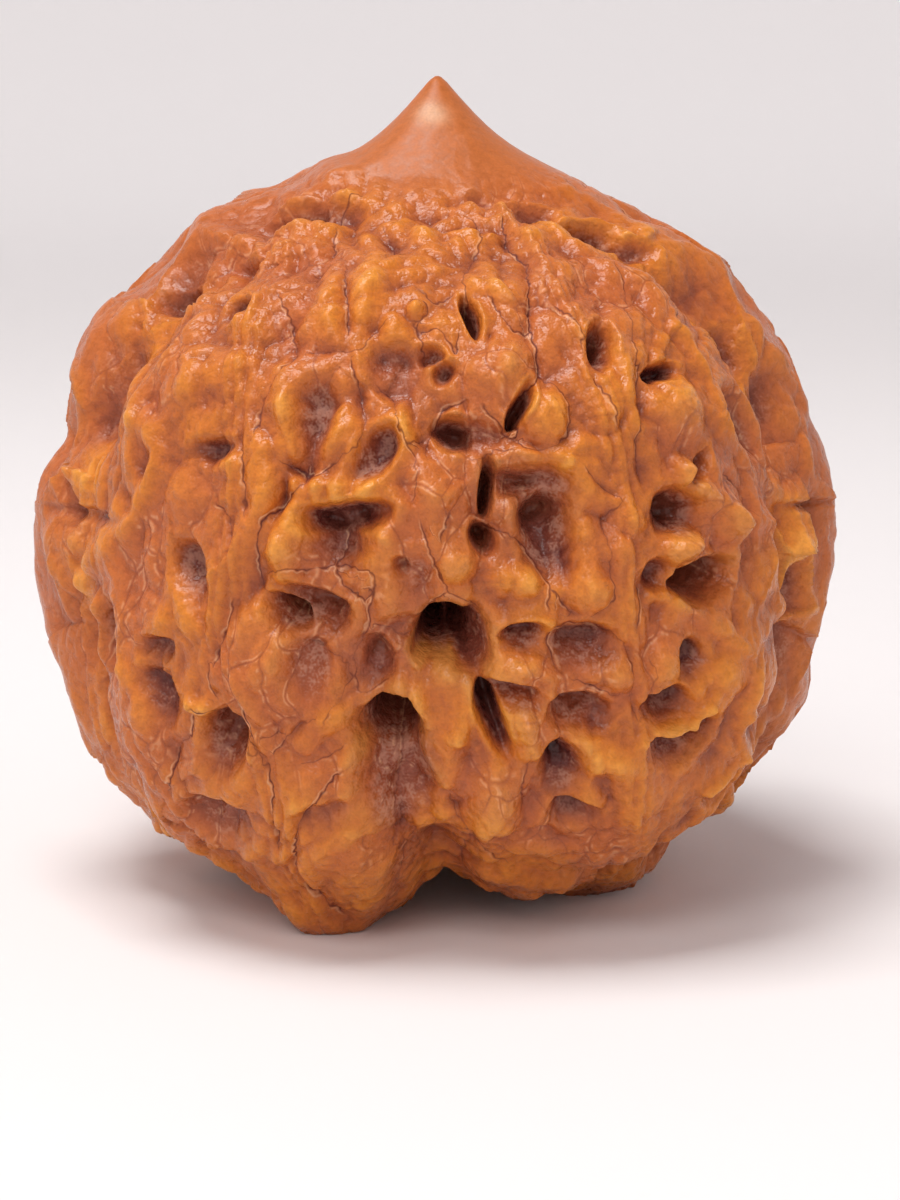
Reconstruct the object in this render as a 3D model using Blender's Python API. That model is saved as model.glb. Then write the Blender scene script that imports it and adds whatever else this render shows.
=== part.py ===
"""One walnut in its shell, of the deeply furrowed kind that is kept and handled, standing on its base.

The shell is one closed solid: a round belly at the front and the back, a thick seam wing round both
sides, a smooth pointed tip, and a base of four lobes round the stem scar. Its raised net of ridges is
made by sinking hollows and seams into that body, and raising ribs and mounds on it. The front is
carved by hand, as seen by an eye in front of it, and the rest is drawn by a rule with fixed seeds.

Lengths are in millimetres until the mesh is written, and angles in degrees. X runs across the seam
wings, Y to the back and Z up. The shape is worked out round the nut's middle and then stood on Z = 0.
"""

import itertools
from typing import NamedTuple

import bmesh
import bpy
import numpy as np

METRES = 0.001

# Driving dimensions: the belly's half sizes, the wings, the tip and where the floor cuts the base.
BELLY_HALF_WIDTH = 18.3
BELLY_HALF_DEPTH = 18.9
BELLY_RISE = 16.4
BELLY_DROP = 18.8
BELLY_ROUNDNESS_ABOVE = 2.3
BELLY_ROUNDNESS_BELOW = 2.9
WING_HEIGHT = 2.7
WING_HEIGHT_ABOVE = 1.3
WING_HALF_THICKNESS = 4.6
WING_FURROW_AT = 7.0
WING_FURROW_HALF_WIDTH = 1.5
WING_FURROW_DEPTH = 1.1
TIP_HEIGHT = 4.9
TIP_SPREAD = 9.4
TIP_BLUNTNESS = 1.0
SMOOTH_TIP = (12.0, 24.0)

# Where the wings' edge swells and draws in: the angle from +X up to the tip, its half width, the height.
EDGE_WAVES = ((168.0, 6.0, -0.8), (152.0, 7.0, 0.8), (128.0, 9.0, 0.6), (57.0, 7.0, -0.2), (108.0, 4.0, 0.4),
              (202.0, 7.0, -0.4), (344.0, 8.0, -0.9), (318.0, 8.0, 0.1), (188.0, 4.0, 0.0), (5.0, 7.0, -0.1))
MIDDLE_HEIGHT = 19.7

# The base: each lobe's foot on the floor, its half width and how far it swells, and the stem scar.
LOBES = ((-5.0, -8.6, 3.2, 3.1), (7.6, -2.2, 2.8, 2.8), (6.8, 6.8, 3.6, 2.1), (-6.4, 6.6, 3.6, 2.2))
NOTCHES = ((-0.3, -20.0, 0.3, -4.0, 2.0, 1.7), (4.5, -13.0, 12.0, -9.5, 2.6, 1.2), (0.5, 4.0, 0.5, 16.0, 1.6, 1.2))
SCAR_HALF_WIDTH = 3.2
SCAR_DEPTH = 2.0

# The eye that the front is drawn for, and how squarely it must see a place for the rule to stop there.
EYE_DISTANCE = 165.0
EYE_ELEVATION = 9.0
FACING_FADE = (0.24, 0.46)
LEAST_FORESHORTENING = 0.55

# The mesh: squares along each edge of the cube that is blown up, and the triangles it is thinned to.
SQUARES_A_SIDE = 110
TRIANGLES = 11700
SHELL_COLOUR = (0.43, 0.155, 0.045, 1.0)
SHELL_ROUGHNESS = 0.42


class Hollow(NamedTuple):
    """A pit seen at (across, up): its half sizes, its lean, its depth and how sharp its rim is."""

    across: float
    up: float
    half_width: float
    half_height: float
    lean: float
    depth: float
    rim: float = 1.4


class Rib(NamedTuple):
    """A raised band along a line of seen points, with its height and half width."""

    height: float
    half_width: float
    line: tuple


class Seam(NamedTuple):
    """A fine furrow along a line of seen points, with its depth."""

    depth: float
    line: tuple


FRONT_HOLLOWS = {
    "keyhole": Hollow(0.3, -6.5, 1.2, 1.2, -20, 3.7, 3.0),
    "keyhole tail": Hollow(-0.5, -7.4, 0.8, 0.7, 40, 2.4, 2.5),
    "keyhole ledge": Hollow(1.75, -7.1, 0.85, 1.5, -5, 1.9, 2.5),
    "archway": Hollow(-2.5, -11.8, 1.65, 1.35, 0, 3.6, 3.0),
    "valley below the archway": Hollow(-1.9, -13.9, 1.8, 2.6, -6, 1.3),
    "valley foot": Hollow(-0.4, -17.2, 1.9, 1.5, 35, 0.5),
    "slit": Hollow(2.55, -10.5, 0.5, 1.6, 25, 2.0, 1.9),
    "crevice": Hollow(2.65, 1.4, 0.36, 1.3, 4, 2.2, 2.5),
    "crevice foot": Hollow(2.5, -1.2, 0.6, 0.9, 20, 1.9),
    "great hollow": Hollow(6.0, -0.7, 1.2, 1.9, 0, 1.7, 1.8),
    "great hollow brow": Hollow(5.7, 1.5, 1.7, 1.3, -20, 0.9),
    "great hollow corner": Hollow(3.9, 1.9, 1.2, 0.6, 0, 0.9),
    "letter box": Hollow(4.6, -6.6, 1.2, 0.65, 8, 1.1, 1.6),
    "letter box below": Hollow(3.9, -9.3, 1.5, 0.6, -8, 1.1),
    "eye": Hollow(7.5, -7.1, 1.3, 0.95, 10, 1.2),
    "eye below": Hollow(7.5, -10.4, 1.3, 0.8, -5, 1.3),
    "cheek": Hollow(6.6, -13.4, 1.0, 1.4, 10, 1.1),
    "cheek below": Hollow(7.3, -15.9, 1.0, 0.6, 0, 0.9),
    "brow pit": Hollow(0.9, 4.4, 0.8, 0.8, 0, 1.4, 1.8),
    "brow pit floor": Hollow(2.2, 4.2, 1.2, 0.9, -15, 0.8),
    "slanted pit": Hollow(-3.2, 3.5, 0.8, 1.6, -32, 1.3, 1.8),
    "long pit": Hollow(-5.0, 0.0, 1.9, 0.8, 2, 1.5, 1.8),
    "long pit floor": Hollow(-5.2, -1.7, 1.4, 0.8, 0, 0.7),
    "shallow dish": Hollow(-6.4, 5.3, 0.9, 2.2, -8, 0.8),
    "deep corner": Hollow(-7.9, -5.4, 1.0, 0.55, -48, 1.3, 1.8),
    "wide corner": Hollow(-6.5, -4.9, 1.6, 0.9, -20, 1.3),
    "trough": Hollow(-6.9, -8.0, 0.8, 1.7, 5, 0.9),
    "small cup": Hollow(-2.1, -2.7, 0.4, 0.4, 0, 0.5),
    "oval dish": Hollow(-1.3, -3.2, 1.1, 1.4, 10, 0.7),
    "narrow dish": Hollow(-3.3, -8.0, 0.8, 1.4, 0, 0.8),
    "side dish": Hollow(-1.9, -6.0, 0.8, 0.7, 0, 0.4),
    "upper slit": Hollow(1.8, 10.3, 0.42, 1.1, 15, 1.5, 2.5),
    "upper pits": Hollow(0.3, 7.6, 0.55, 0.6, 0, 0.9),
    "upper pit left": Hollow(-0.4, 8.5, 0.6, 0.5, -30, 0.8),
    "round dish": Hollow(-2.4, 8.0, 1.2, 1.2, 0, 0.7),
    "crescent": Hollow(4.3, 5.5, 0.3, 1.1, -28, 1.5, 2.5),
    "left socket": Hollow(-11.8, 3.6, 1.2, 0.6, 0, 0.7),
    "left shade": Hollow(-13.2, -2.8, 0.8, 1.5, 25, 0.9),
    "left gully": Hollow(-17.3, -6.3, 0.7, 1.8, 10, 1.2),
    "left foot pit": Hollow(-11.3, -12.0, 1.2, 1.3, -30, 2.0, 2.0),
    "left foot dish": Hollow(-12.0, -16.2, 1.3, 1.3, 0, 1.2),
    "left pit low": Hollow(-15.0, -9.4, 0.8, 1.3, 0, 0.9),
    "left pit high": Hollow(-14.9, -7.3, 0.7, 0.7, 0, 0.7),
    "lobe brow": Hollow(-5.6, -15.6, 1.5, 0.9, 10, 0.55),
    "lobe brow inner": Hollow(-3.9, -13.8, 0.8, 0.9, 0, 0.4),
    "left crease": Hollow(-9.7, 12.9, 0.8, 0.4, 0, 0.6),
    "left crease low": Hollow(-10.4, 10.8, 0.6, 0.7, 0, 0.8),
    "wing crease": Hollow(-17.2, -0.1, 2.2, 0.35, -4, 0.35),
    "wing crease high": Hollow(-19.2, 1.4, 0.35, 1.6, 28, 0.5),
    "wing dimple": Hollow(-14.2, 11.4, 0.8, 0.5, 25, 1.0),
    "wing shade": Hollow(-16.6, 7.6, 0.9, 2.0, -15, 0.6),
    "under the ridge": Hollow(-7.2, 15.5, 2.5, 0.5, 24, 1.1),
    "tip pit": Hollow(4.7, 15.9, 1.0, 0.5, -5, 0.9),
    "wing pit": Hollow(7.9, 14.7, 1.2, 0.6, -20, 1.7, 2.0),
    "wing slit": Hollow(9.8, 13.9, 1.2, 0.3, -30, 0.8),
    "tip furrow": Hollow(1.9, 17.6, 0.5, 1.6, 0, 0.5),
    "right slot": Hollow(8.4, 8.8, 0.55, 1.3, -20, 1.4),
    "right cup": Hollow(11.6, 7.3, 0.8, 0.45, 15, 1.1),
    "right gully high": Hollow(15.2, 8.0, 0.6, 1.6, -15, 1.2),
    "right gully": Hollow(16.0, 5.1, 0.9, 1.9, 38, 1.3),
    "right cave": Hollow(14.0, -3.4, 1.5, 0.85, 8, 2.7, 1.8),
    "right cave wall": Hollow(12.5, 0.2, 1.1, 1.1, -12, 1.2, 1.8),
    "right cave floor": Hollow(11.5, -3.0, 0.5, 0.8, 0, 0.7),
    "right groove": Hollow(13.4, 2.2, 1.1, 0.35, 50, 0.8),
    "right pit": Hollow(13.5, -7.5, 0.7, 0.9, 0, 1.0),
    "right foot slot": Hollow(12.0, -9.9, 1.2, 0.6, 12, 1.1),
    "right foot pit": Hollow(12.8, -12.1, 1.6, 0.8, 12, 1.3),
    "right foot shade": Hollow(14.0, -11.2, 0.7, 0.6, 40, 1.0),
    "right pocket": Hollow(14.9, -14.6, 1.0, 0.5, 32, 1.2, 2.0),
    "right pocket low": Hollow(13.3, -16.6, 0.8, 0.35, 35, 0.9),
    "right edge dish": Hollow(16.6, -11.2, 0.7, 1.0, 0, 0.9),
    "wing notch": Hollow(19.8, 0.4, 1.3, 0.25, 0, 0.5),
    "wing notch low": Hollow(19.6, -6.7, 0.9, 0.3, -15, 0.5),
}

FRONT_MOUNDS = {
    "left foot": Hollow(-4.8, -17.8, 2.6, 3.0, 5, -0.8),
    "right foot": Hollow(7.0, -18.4, 2.6, 1.2, 0, -0.3),
    "tongue": Hollow(3.1, -15.4, 1.2, 2.0, -10, -0.9),
    "oval": Hollow(5.4, 5.2, 1.1, 1.5, -5, -0.6),
    "bead": Hollow(1.1, -2.8, 1.0, 0.8, 0, -0.6),
    "left pillow": Hollow(-8.2, -1.8, 1.1, 1.5, 0, -0.5),
    "left bulge": Hollow(-9.0, -7.6, 1.4, 2.4, -5, -0.6),
    "middle pillow": Hollow(4.2, -3.9, 1.2, 0.8, 0, -0.5),
    "right pillow": Hollow(8.0, -4.2, 0.9, 1.1, 0, -0.5),
    "stone in the hollow": Hollow(3.8, 0.3, 0.6, 0.7, 0, -0.4),
    "cheek bone": Hollow(8.3, -12.8, 1.5, 0.9, -20, -0.7),
    "eyelid": Hollow(8.9, -8.6, 0.9, 0.7, 0, -0.4),
    "left knuckle": Hollow(-6.7, -14.4, 0.9, 1.0, 0, -0.3),
    "left knuckle high": Hollow(-5.6, -11.0, 0.8, 0.8, 0, -0.4),
    "right knuckle": Hollow(12.4, 5.1, 1.2, 1.5, -15, -0.7),
    "right knuckle low": Hollow(14.7, -8.8, 1.0, 1.5, 10, -0.6),
    "right knuckle mid": Hollow(11.6, -8.4, 0.8, 1.0, 0, -0.5),
    "right corner": Hollow(17.8, -2.4, 1.2, 1.4, 0, -0.7),
    "wing swell": Hollow(-17.5, 2.2, 1.5, 1.9, -15, -0.6),
    "wing swell low": Hollow(-18.6, -3.0, 1.2, 2.6, 0, -0.5),
    "wing swell high": Hollow(12.6, 13.8, 3.0, 1.1, -38, -0.4),
    "left edge": Hollow(-14.0, -5.6, 1.2, 1.6, 20, -0.5),
    "left edge low": Hollow(-16.0, -10.8, 1.0, 1.8, 10, -0.5),
    "upper pillow": Hollow(-3.4, 11.9, 1.0, 1.8, 0, -0.4),
    "upper pillow left": Hollow(-6.0, 10.6, 0.8, 1.8, 0, -0.3),
    "upper pillow right": Hollow(3.7, 11.6, 0.9, 1.7, 10, -0.4),
    "upper pillow low": Hollow(3.3, 7.5, 1.2, 1.2, 0, -0.4),
    "upper bead": Hollow(-1.2, 10.5, 0.5, 0.5, 0, -0.3),
    "left slope": Hollow(-13.0, 7.3, 1.6, 1.2, 35, -0.5),
    "cave tooth": Hollow(12.6, -1.6, 0.8, 0.9, 0, -1.2, 1.3),
    "right block": Hollow(16.8, -3.4, 1.5, 1.7, 0, -0.6),
}

FRONT_RIBS = {
    "right band": Rib(0.6, 0.9, ((3.2, 15.4), (5.6, 12.2), (7.3, 9.0), (8.7, 6.0), (9.6, 2.8), (10.0, -1.0),
                                 (9.9, -5.0), (10.4, -9.0), (10.7, -12.5), (10.3, -16.0), (9.1, -18.8))),
    "left band": Rib(0.5, 1.1, ((-7.8, 13.8), (-9.6, 10.0), (-10.4, 6.0), (-10.7, 1.0), (-11.2, -4.0),
                                (-11.0, -8.5), (-9.4, -12.0), (-8.2, -15.5), (-7.4, -18.5), (-6.2, -20.8))),
    "left brow": Rib(0.5, 0.6, ((-4.6, 16.3), (-7.6, 14.3), (-10.6, 12.3), (-13.2, 9.2), (-15.0, 6.6),
                                (-15.6, 5.0), (-14.8, 3.4), (-15.3, 1.2), (-16.1, -1.0), (-17.5, -3.6),
                                (-17.0, -5.8), (-16.4, -8.0))),
    "right brow": Rib(0.5, 0.7, ((5.4, 14.6), (9.0, 12.6), (12.2, 10.2), (14.2, 7.0), (14.9, 5.2), (16.6, 3.2),
                                 (17.6, 0.8), (17.9, -1.6))),
    "right edge": Rib(0.6, 0.8, ((17.9, -1.9), (17.8, -3.8), (17.2, -5.8), (16.4, -8.2), (16.1, -10.2),
                                 (15.9, -12.8))),
    "right bar": Rib(0.9, 0.6, ((12.7, 2.0), (13.6, 1.0), (14.8, -0.2), (15.5, -1.0))),
    "right shelf": Rib(0.4, 0.6, ((14.4, -0.8), (15.8, -0.6), (17.0, -0.6), (17.9, -1.2))),
    "arch": Rib(0.6, 0.45, ((-3.9, -12.0), (-3.5, -10.3), (-2.2, -9.5), (-1.0, -10.1), (-0.5, -11.6),
                            (-0.5, -13.2), (0.3, -14.4))),
    "beam": Rib(0.6, 0.4, ((2.3, -8.3), (4.2, -8.1), (5.9, -8.4))),
    "post": Rib(0.5, 0.4, ((6.0, -6.2), (6.1, -8.4), (5.4, -9.9))),
    "plug": Rib(0.9, 0.6, ((4.5, -10.4), (4.6, -11.6), (4.7, -12.5))),
    "finger": Rib(0.7, 0.45, ((1.4, -9.1), (1.5, -10.4), (1.2, -12.0))),
    "overhang": Rib(0.8, 0.45, ((-13.0, -10.2), (-11.6, -10.8), (-10.3, -11.8), (-9.2, -13.2))),
    "long pit rim": Rib(0.5, 0.5, ((-7.4, 1.4), (-5.0, 1.5), (-2.8, 1.2), (-2.0, 0.0), (-2.7, -1.6))),
    "dish rim": Rib(0.4, 0.5, ((-8.0, 7.4), (-7.9, 5.0), (-7.5, 3.2))),
    "middle web": Rib(0.4, 0.5, ((-2.2, 5.6), (-1.5, 3.6), (-0.9, 1.2), (0.4, 0.6), (1.7, 1.6), (1.9, 2.6))),
    "great hollow lid": Rib(0.5, 0.5, ((2.8, 3.0), (4.6, 3.1), (6.6, 2.9))),
    "right slat": Rib(0.6, 0.6, ((9.2, 8.6), (10.0, 5.2), (10.3, 4.2))),
    "right ledge": Rib(0.5, 0.5, ((11.2, -4.6), (13.0, -4.7), (15.2, -6.4), (16.2, -7.4))),
    "foot ledge": Rib(0.7, 0.35, ((11.2, -11.3), (13.2, -11.0), (14.2, -10.0))),
    "pocket lip": Rib(0.6, 0.35, ((14.1, -14.6), (15.1, -13.8), (16.0, -13.0))),
    "tip ridge": Rib(0.4, 0.9, ((-1.0, 21.0), (-3.2, 18.4), (-5.4, 17.4))),
}

FRONT_SEAMS = (
    Seam(0.30, ((1.5, 15.2), (2.1, 14.7), (2.0, 13.8), (1.6, 12.9), (1.3, 12.1), (1.6, 11.3))),
    Seam(0.40, ((3.2, 14.8), (3.7, 13.8), (4.5, 13.0), (4.9, 12.0), (4.95, 10.2), (5.3, 8.8), (5.5, 7.0))),
    Seam(0.35, ((5.5, 7.0), (4.5, 6.3), (4.1, 5.3), (4.1, 4.1), (4.6, 3.5), (5.6, 3.6), (6.6, 4.1),
                (6.8, 5.1), (6.4, 6.2), (5.5, 7.0))),
    Seam(0.30, ((1.4, 5.8), (0.6, 5.5), (0.1, 4.7), (-0.4, 3.9), (-0.5, 3.1))),
    Seam(0.35, ((3.6, 3.6), (2.7, 3.1), (1.9, 2.6), (2.3, 2.1), (2.6, 0.6), (2.4, 0.0))),
    Seam(0.30, ((-4.6, 8.0), (-4.2, 5.8), (-4.0, 4.8), (-4.3, 3.7), (-5.0, 3.1), (-6.4, 2.1), (-7.2, 2.1))),
    Seam(0.30, ((-3.2, 6.7), (-2.5, 6.1), (-2.0, 4.3), (-1.5, 3.6), (-1.1, 2.4), (-1.2, 0.8))),
    Seam(0.40, ((-8.0, 2.5), (-7.1, 2.0), (-7.8, 0.9), (-9.2, -0.6), (-9.3, -2.0), (-9.2, -3.8), (-8.4, -4.9))),
    Seam(0.35, ((-8.5, -3.4), (-5.4, -2.8), (-3.7, -3.3), (-3.5, -4.4), (-3.7, -6.0), (-4.7, -7.8),
                (-4.7, -9.0), (-4.2, -9.9), (-3.0, -9.5))),
    Seam(0.35, ((-0.6, -1.2), (-0.2, -2.4), (0.4, -4.1), (-0.2, -4.9), (-0.5, -5.6), (-1.8, -6.8), (-3.2, -6.1))),
    Seam(0.25, ((0.4, -4.2), (1.2, -4.6), (2.4, -5.4))),
    Seam(0.30, ((2.9, -0.6), (4.0, -1.2), (4.9, -2.2), (5.9, -4.0), (7.1, -5.5))),
    Seam(0.40, ((9.3, 0.1), (8.8, -0.8), (9.0, -3.0), (9.1, -4.2), (8.2, -5.4))),
    Seam(0.35, ((9.8, 10.5), (10.1, 9.0), (10.4, 6.5), (10.7, 5.2), (10.4, 3.4), (10.6, 2.1))),
    Seam(0.30, ((6.2, -7.8), (6.2, -6.9), (7.4, -6.1), (9.0, -6.6), (9.8, -7.6), (10.0, -9.7), (10.3, -10.6))),
    Seam(0.30, ((4.7, -12.7), (4.4, -14.4), (4.5, -15.6))),
    Seam(0.40, ((-10.3, 4.0), (-10.0, 2.4), (-10.0, 0.3))),
    Seam(0.40, ((-10.7, -5.0), (-11.0, -6.4), (-11.6, -7.7))),
    Seam(0.40, ((-10.2, -10.0), (-9.6, -12.0), (-8.7, -14.0), (-8.4, -16.0), (-8.2, -17.4))),
    Seam(0.35, ((-6.7, -11.0), (-8.0, -12.0), (-8.5, -12.6))),
    Seam(0.30, ((-6.0, -11.0), (-5.3, -9.8), (-5.1, -8.5), (-5.9, -7.6))),
    Seam(0.40, ((-5.3, -13.7), (-6.6, -15.5), (-7.1, -17.0), (-6.9, -19.2), (-5.2, -21.2))),
    Seam(0.30, ((-2.2, -13.0), (-2.4, -15.5), (-1.7, -17.7), (-2.3, -19.5))),
    Seam(0.35, ((0.6, -15.0), (1.9, -17.0), (1.3, -18.5))),
    Seam(0.35, ((-7.4, 8.6), (-8.4, 6.7), (-9.0, 5.8), (-9.5, 4.4))),
    Seam(0.30, ((-8.2, 11.2), (-7.7, 10.2), (-7.4, 8.6))),
    Seam(0.35, ((-4.8, 12.8), (-4.8, 9.6), (-4.4, 8.5))),
    Seam(0.25, ((-6.6, 8.5), (-4.0, 8.6), (-2.6, 10.0))),
    Seam(0.25, ((-1.1, 11.6), (-0.4, 10.9), (-1.0, 9.9), (-0.9, 8.2))),
    Seam(0.25, ((0.6, 11.3), (-0.3, 10.8), (0.8, 8.6))),
    Seam(0.35, ((-13.2, -11.0), (-13.3, -12.2), (-14.0, -13.0), (-14.2, -14.6))),
)

# The rule for the sides, the back and the base.
NET_SEED = 41
NET_CELLS = 230
NET_STRETCH = 0.62
NET_RIDGE_HEIGHT = 0.55
NET_SEAM_DEPTH = 0.45
PIT_SHARE = 0.58
PIT_DEPTH = (0.6, 1.9)
PIT_SIZE = (0.30, 0.62)
PIT_SKIRT = 0.35
PILLOW_HEIGHT = 0.3
NET_SHARE_IN_FRONT = 0.16
WING_SHARE = 0.28
NET_SHARE_UNDER = 0.45
MERIDIAN_RIBS = (14.0, 33.0, 57.0, 84.0, 108.0, 131.0, 152.0, 168.0)
MERIDIAN_RIB_HEIGHT = 0.55
MERIDIAN_RIB_HALF_WIDTH = 1.0

# The walls of the front's hollows: how wide each one's shallow skirt reaches and how high its lip stands.
SKIRT_SHARE = 0.30
LIP_SHARE = 0.16
STEEP_RIM = 2.4

# The lengthwise folds of the skin.
FOLD_SIZE = 2.3
FOLD_STRETCH = 0.42
FOLD_HEIGHT = 0.62
FOLD_WANDER = 1.3
FOLD_SHARE_ON_WING = 0.35


def smooth(low, high, value):
    """0 below low and 1 above high, with a smooth rise between them."""
    t = np.clip((value - low) / (high - low), 0.0, 1.0)
    return t * t * (3.0 - 2.0 * t)


def hills(points, size, seed):
    """Smooth noise from -1 to 1 at each point, with hills about size across."""
    table = np.random.default_rng(seed).uniform(-1.0, 1.0, 4096)
    corner = np.floor(points / size).astype(np.int64)
    part = points / size - corner
    part = part * part * (3.0 - 2.0 * part)
    total = np.zeros(len(points))
    for step in itertools.product((0, 1), repeat=3):
        at = (corner + step) * (73856093, 19349663, 83492791)
        weight = np.where(step, part, 1.0 - part).prod(axis=1)
        total += table[(at[:, 0] ^ at[:, 1] ^ at[:, 2]) & 4095] * weight
    return total


def body_radius(way):
    """How far the plain body reaches from its middle along each unit vector: belly, wings, tip and base."""
    x, y, z = way.T
    half_height = np.where(z > 0, BELLY_RISE, BELLY_DROP)
    power = BELLY_ROUNDNESS_ABOVE + (BELLY_ROUNDNESS_BELOW - BELLY_ROUNDNESS_ABOVE) * smooth(0.1, -0.6, z)
    sizes = (BELLY_HALF_WIDTH, BELLY_HALF_DEPTH, half_height)
    belly = sum((abs(part) / size) ** power for part, size in zip((x, y, z), sizes)) ** (-1.0 / power)

    off_seam = abs(y) * belly
    wing_height = WING_HEIGHT_ABOVE + (WING_HEIGHT - WING_HEIGHT_ABOVE) * smooth(0.45, 0.05, z)
    wing_height = wing_height * (0.12 + 0.88 * smooth(-0.85, -0.25, z))
    round_edge = np.degrees(np.arctan2(z, x)) % 360.0
    for at, half_width, height in EDGE_WAVES:
        wing_height = wing_height + height * np.exp(-(((round_edge - at) / half_width) ** 2))
    wing = wing_height * np.exp(-((off_seam / WING_HALF_THICKNESS) ** 3))
    furrow = np.exp(-(((off_seam - WING_FURROW_AT) / WING_FURROW_HALF_WIDTH) ** 2))
    furrow = furrow * WING_FURROW_DEPTH * smooth(0.96, 0.6, z) * smooth(-0.9, -0.5, z)

    from_tip = np.degrees(np.arccos(np.clip(z, -1.0, 1.0)))
    tip = TIP_HEIGHT * np.exp(-(np.hypot(from_tip, TIP_BLUNTNESS) - TIP_BLUNTNESS) / TIP_SPREAD)
    radius = belly + wing - furrow + tip

    foot_x, foot_y = x * radius, y * radius
    under = smooth(-0.45, -0.75, z)
    for at_x, at_y, half_width, swell in LOBES:
        radius = radius + under * swell * np.exp(-(np.hypot(foot_x - at_x, foot_y - at_y) / half_width) ** 2)
    for x_from, y_from, x_to, y_to, half_width, depth in NOTCHES:
        share = np.clip((foot_y - y_from) / (y_to - y_from), 0.0, 1.0)
        off = np.hypot(foot_x - x_from - share * (x_to - x_from), foot_y - y_from - share * (y_to - y_from))
        radius = radius - under * depth * np.exp(-((off / half_width) ** 2))
    scar = np.exp(-((np.hypot(foot_x, foot_y) / SCAR_HALF_WIDTH) ** 2))
    return radius - SCAR_DEPTH * under * scar


def eye_frame():
    """The unit vectors from the nut's middle to the eye, to its right and upward in its view."""
    tilt = np.radians(EYE_ELEVATION)
    to_eye = np.array((0.0, -np.cos(tilt), np.sin(tilt)))
    return to_eye, np.array((1.0, 0.0, 0.0)), np.array((0.0, np.sin(tilt), np.cos(tilt)))


def on_body(places):
    """The points of the plain body that the eye sees at each (across, up) in the plane through its middle."""
    to_eye, right, upward = eye_frame()
    across, up = np.array(places, dtype=float).T
    eye = to_eye * EYE_DISTANCE
    ray = across[:, None] * right + up[:, None] * upward - eye
    ray /= np.linalg.norm(ray, axis=1)[:, None]
    far = -(ray @ eye)
    near = far - 40.0
    for _ in range(30):
        middle = (near + far) / 2.0
        points = eye + ray * middle[:, None]
        reach = np.linalg.norm(points, axis=1)
        outside = reach > body_radius(points / reach[:, None])
        near, far = np.where(outside, middle, near), np.where(outside, far, middle)
    return points


def window(points, places, margin):
    """The indices of the points within a margin of the box round some places."""
    low, high = places.min(axis=0) - margin, places.max(axis=0) + margin
    return np.flatnonzero(((points > low) & (points < high)).all(axis=1))


def off_line(points, line):
    """The distance from each point to a line of points."""
    nearest = np.full(len(points), np.inf)
    for start, end in zip(line, line[1:]):
        run = end - start
        share = np.clip((points - start) @ run / (run @ run), 0.0, 1.0)
        nearest = np.minimum(nearest, np.linalg.norm(points - start - share[:, None] * run, axis=1))
    return nearest


def bowl(points, place, hollow):
    """How deep a hollow at a place is at each point. Its upper wall is steeper than its floor."""
    to_eye, right, upward = eye_frame()
    out = place / np.linalg.norm(place)
    rising = upward - (upward @ out) * out
    rising /= np.linalg.norm(rising)
    sideways = np.cross(rising, out)
    turn = np.radians(hollow.lean)
    along = sideways * np.cos(turn) + rising * np.sin(turn)
    upright = rising * np.cos(turn) - sideways * np.sin(turn)
    seen_larger = EYE_DISTANCE / (EYE_DISTANCE - place @ to_eye)
    half = []
    for size, axis in ((hollow.half_width, along), (hollow.half_height, upright)):
        seen = max(np.hypot(axis @ right, axis @ upward), LEAST_FORESHORTENING)
        half.append(size / seen / seen_larger)
    near = window(points, place[None], 3.2 * max(half))
    offset = points[near] - place
    side, rise = offset @ along / half[0], offset @ upright / half[1]
    above = smooth(-0.6, 0.6, rise) if 0.0 < hollow.depth and hollow.rim < STEEP_RIM else 0.5
    rise = rise / (1.25 - 0.5 * above)
    off = np.minimum(np.hypot(side, rise), 5.5)
    skirt = SKIRT_SHARE * np.exp(-((off / 1.9) ** 2))
    lip = LIP_SHARE * np.exp(-(((off - 1.5) / 0.35) ** 2)) * min(1.0, 1.5 / abs(hollow.depth))
    sunk = np.zeros(len(points))
    sunk[near] = hollow.depth * (np.exp(-(off ** (hollow.rim * (1.3 + 1.1 * above)))) + skirt - lip)
    return sunk


def front_relief(points):
    """The hand-carved front's height at each point of the body."""
    bent = points + 0.3 * np.stack([hills(points, 2.6, seed) for seed in (5, 6, 7)], axis=1)
    height = np.zeros(len(points))
    hollows = (*FRONT_HOLLOWS.values(), *FRONT_MOUNDS.values())
    for hollow, place in zip(hollows, on_body([(hollow.across, hollow.up) for hollow in hollows])):
        height -= bowl(bent, place, hollow)
    ribs = np.zeros(len(points))
    for rib in FRONT_RIBS.values():
        line = on_body(rib.line)
        near = window(bent, line, 3.0 * rib.half_width)
        raised = rib.height * np.exp(-((off_line(bent[near], line) / rib.half_width) ** 2))
        ribs[near] = np.maximum(ribs[near], raised)
    height += ribs
    for seam in FRONT_SEAMS:
        line = on_body(seam.line)
        near = window(points, line, 3.0)
        height[near] -= seam.depth * np.exp(-off_line(points[near], line) / 0.55)
    return height


def spread_points(count, seed):
    """Points spread evenly and without a pattern over a ball of unit radius."""
    draw = np.random.default_rng(seed)
    chosen = [draw.normal(size=3)]
    while len(chosen) < count:
        tries = draw.normal(size=(24, 3))
        tries /= np.linalg.norm(tries, axis=1)[:, None]
        gaps = np.linalg.norm(tries[:, None] - np.array(chosen)[None], axis=2).min(axis=1)
        chosen.append(tries[gaps.argmax()])
    chosen[0] = chosen[0] / np.linalg.norm(chosen[0])
    return np.array(chosen)


def two_nearest(points, cells):
    """The two cells nearest each point, and how far away they are."""
    gaps = np.linalg.norm(points[:, None] - cells[None], axis=2)
    order = np.argpartition(gaps, 2, axis=1)[:, :2]
    return order, np.take_along_axis(gaps, order, axis=1)


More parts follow.
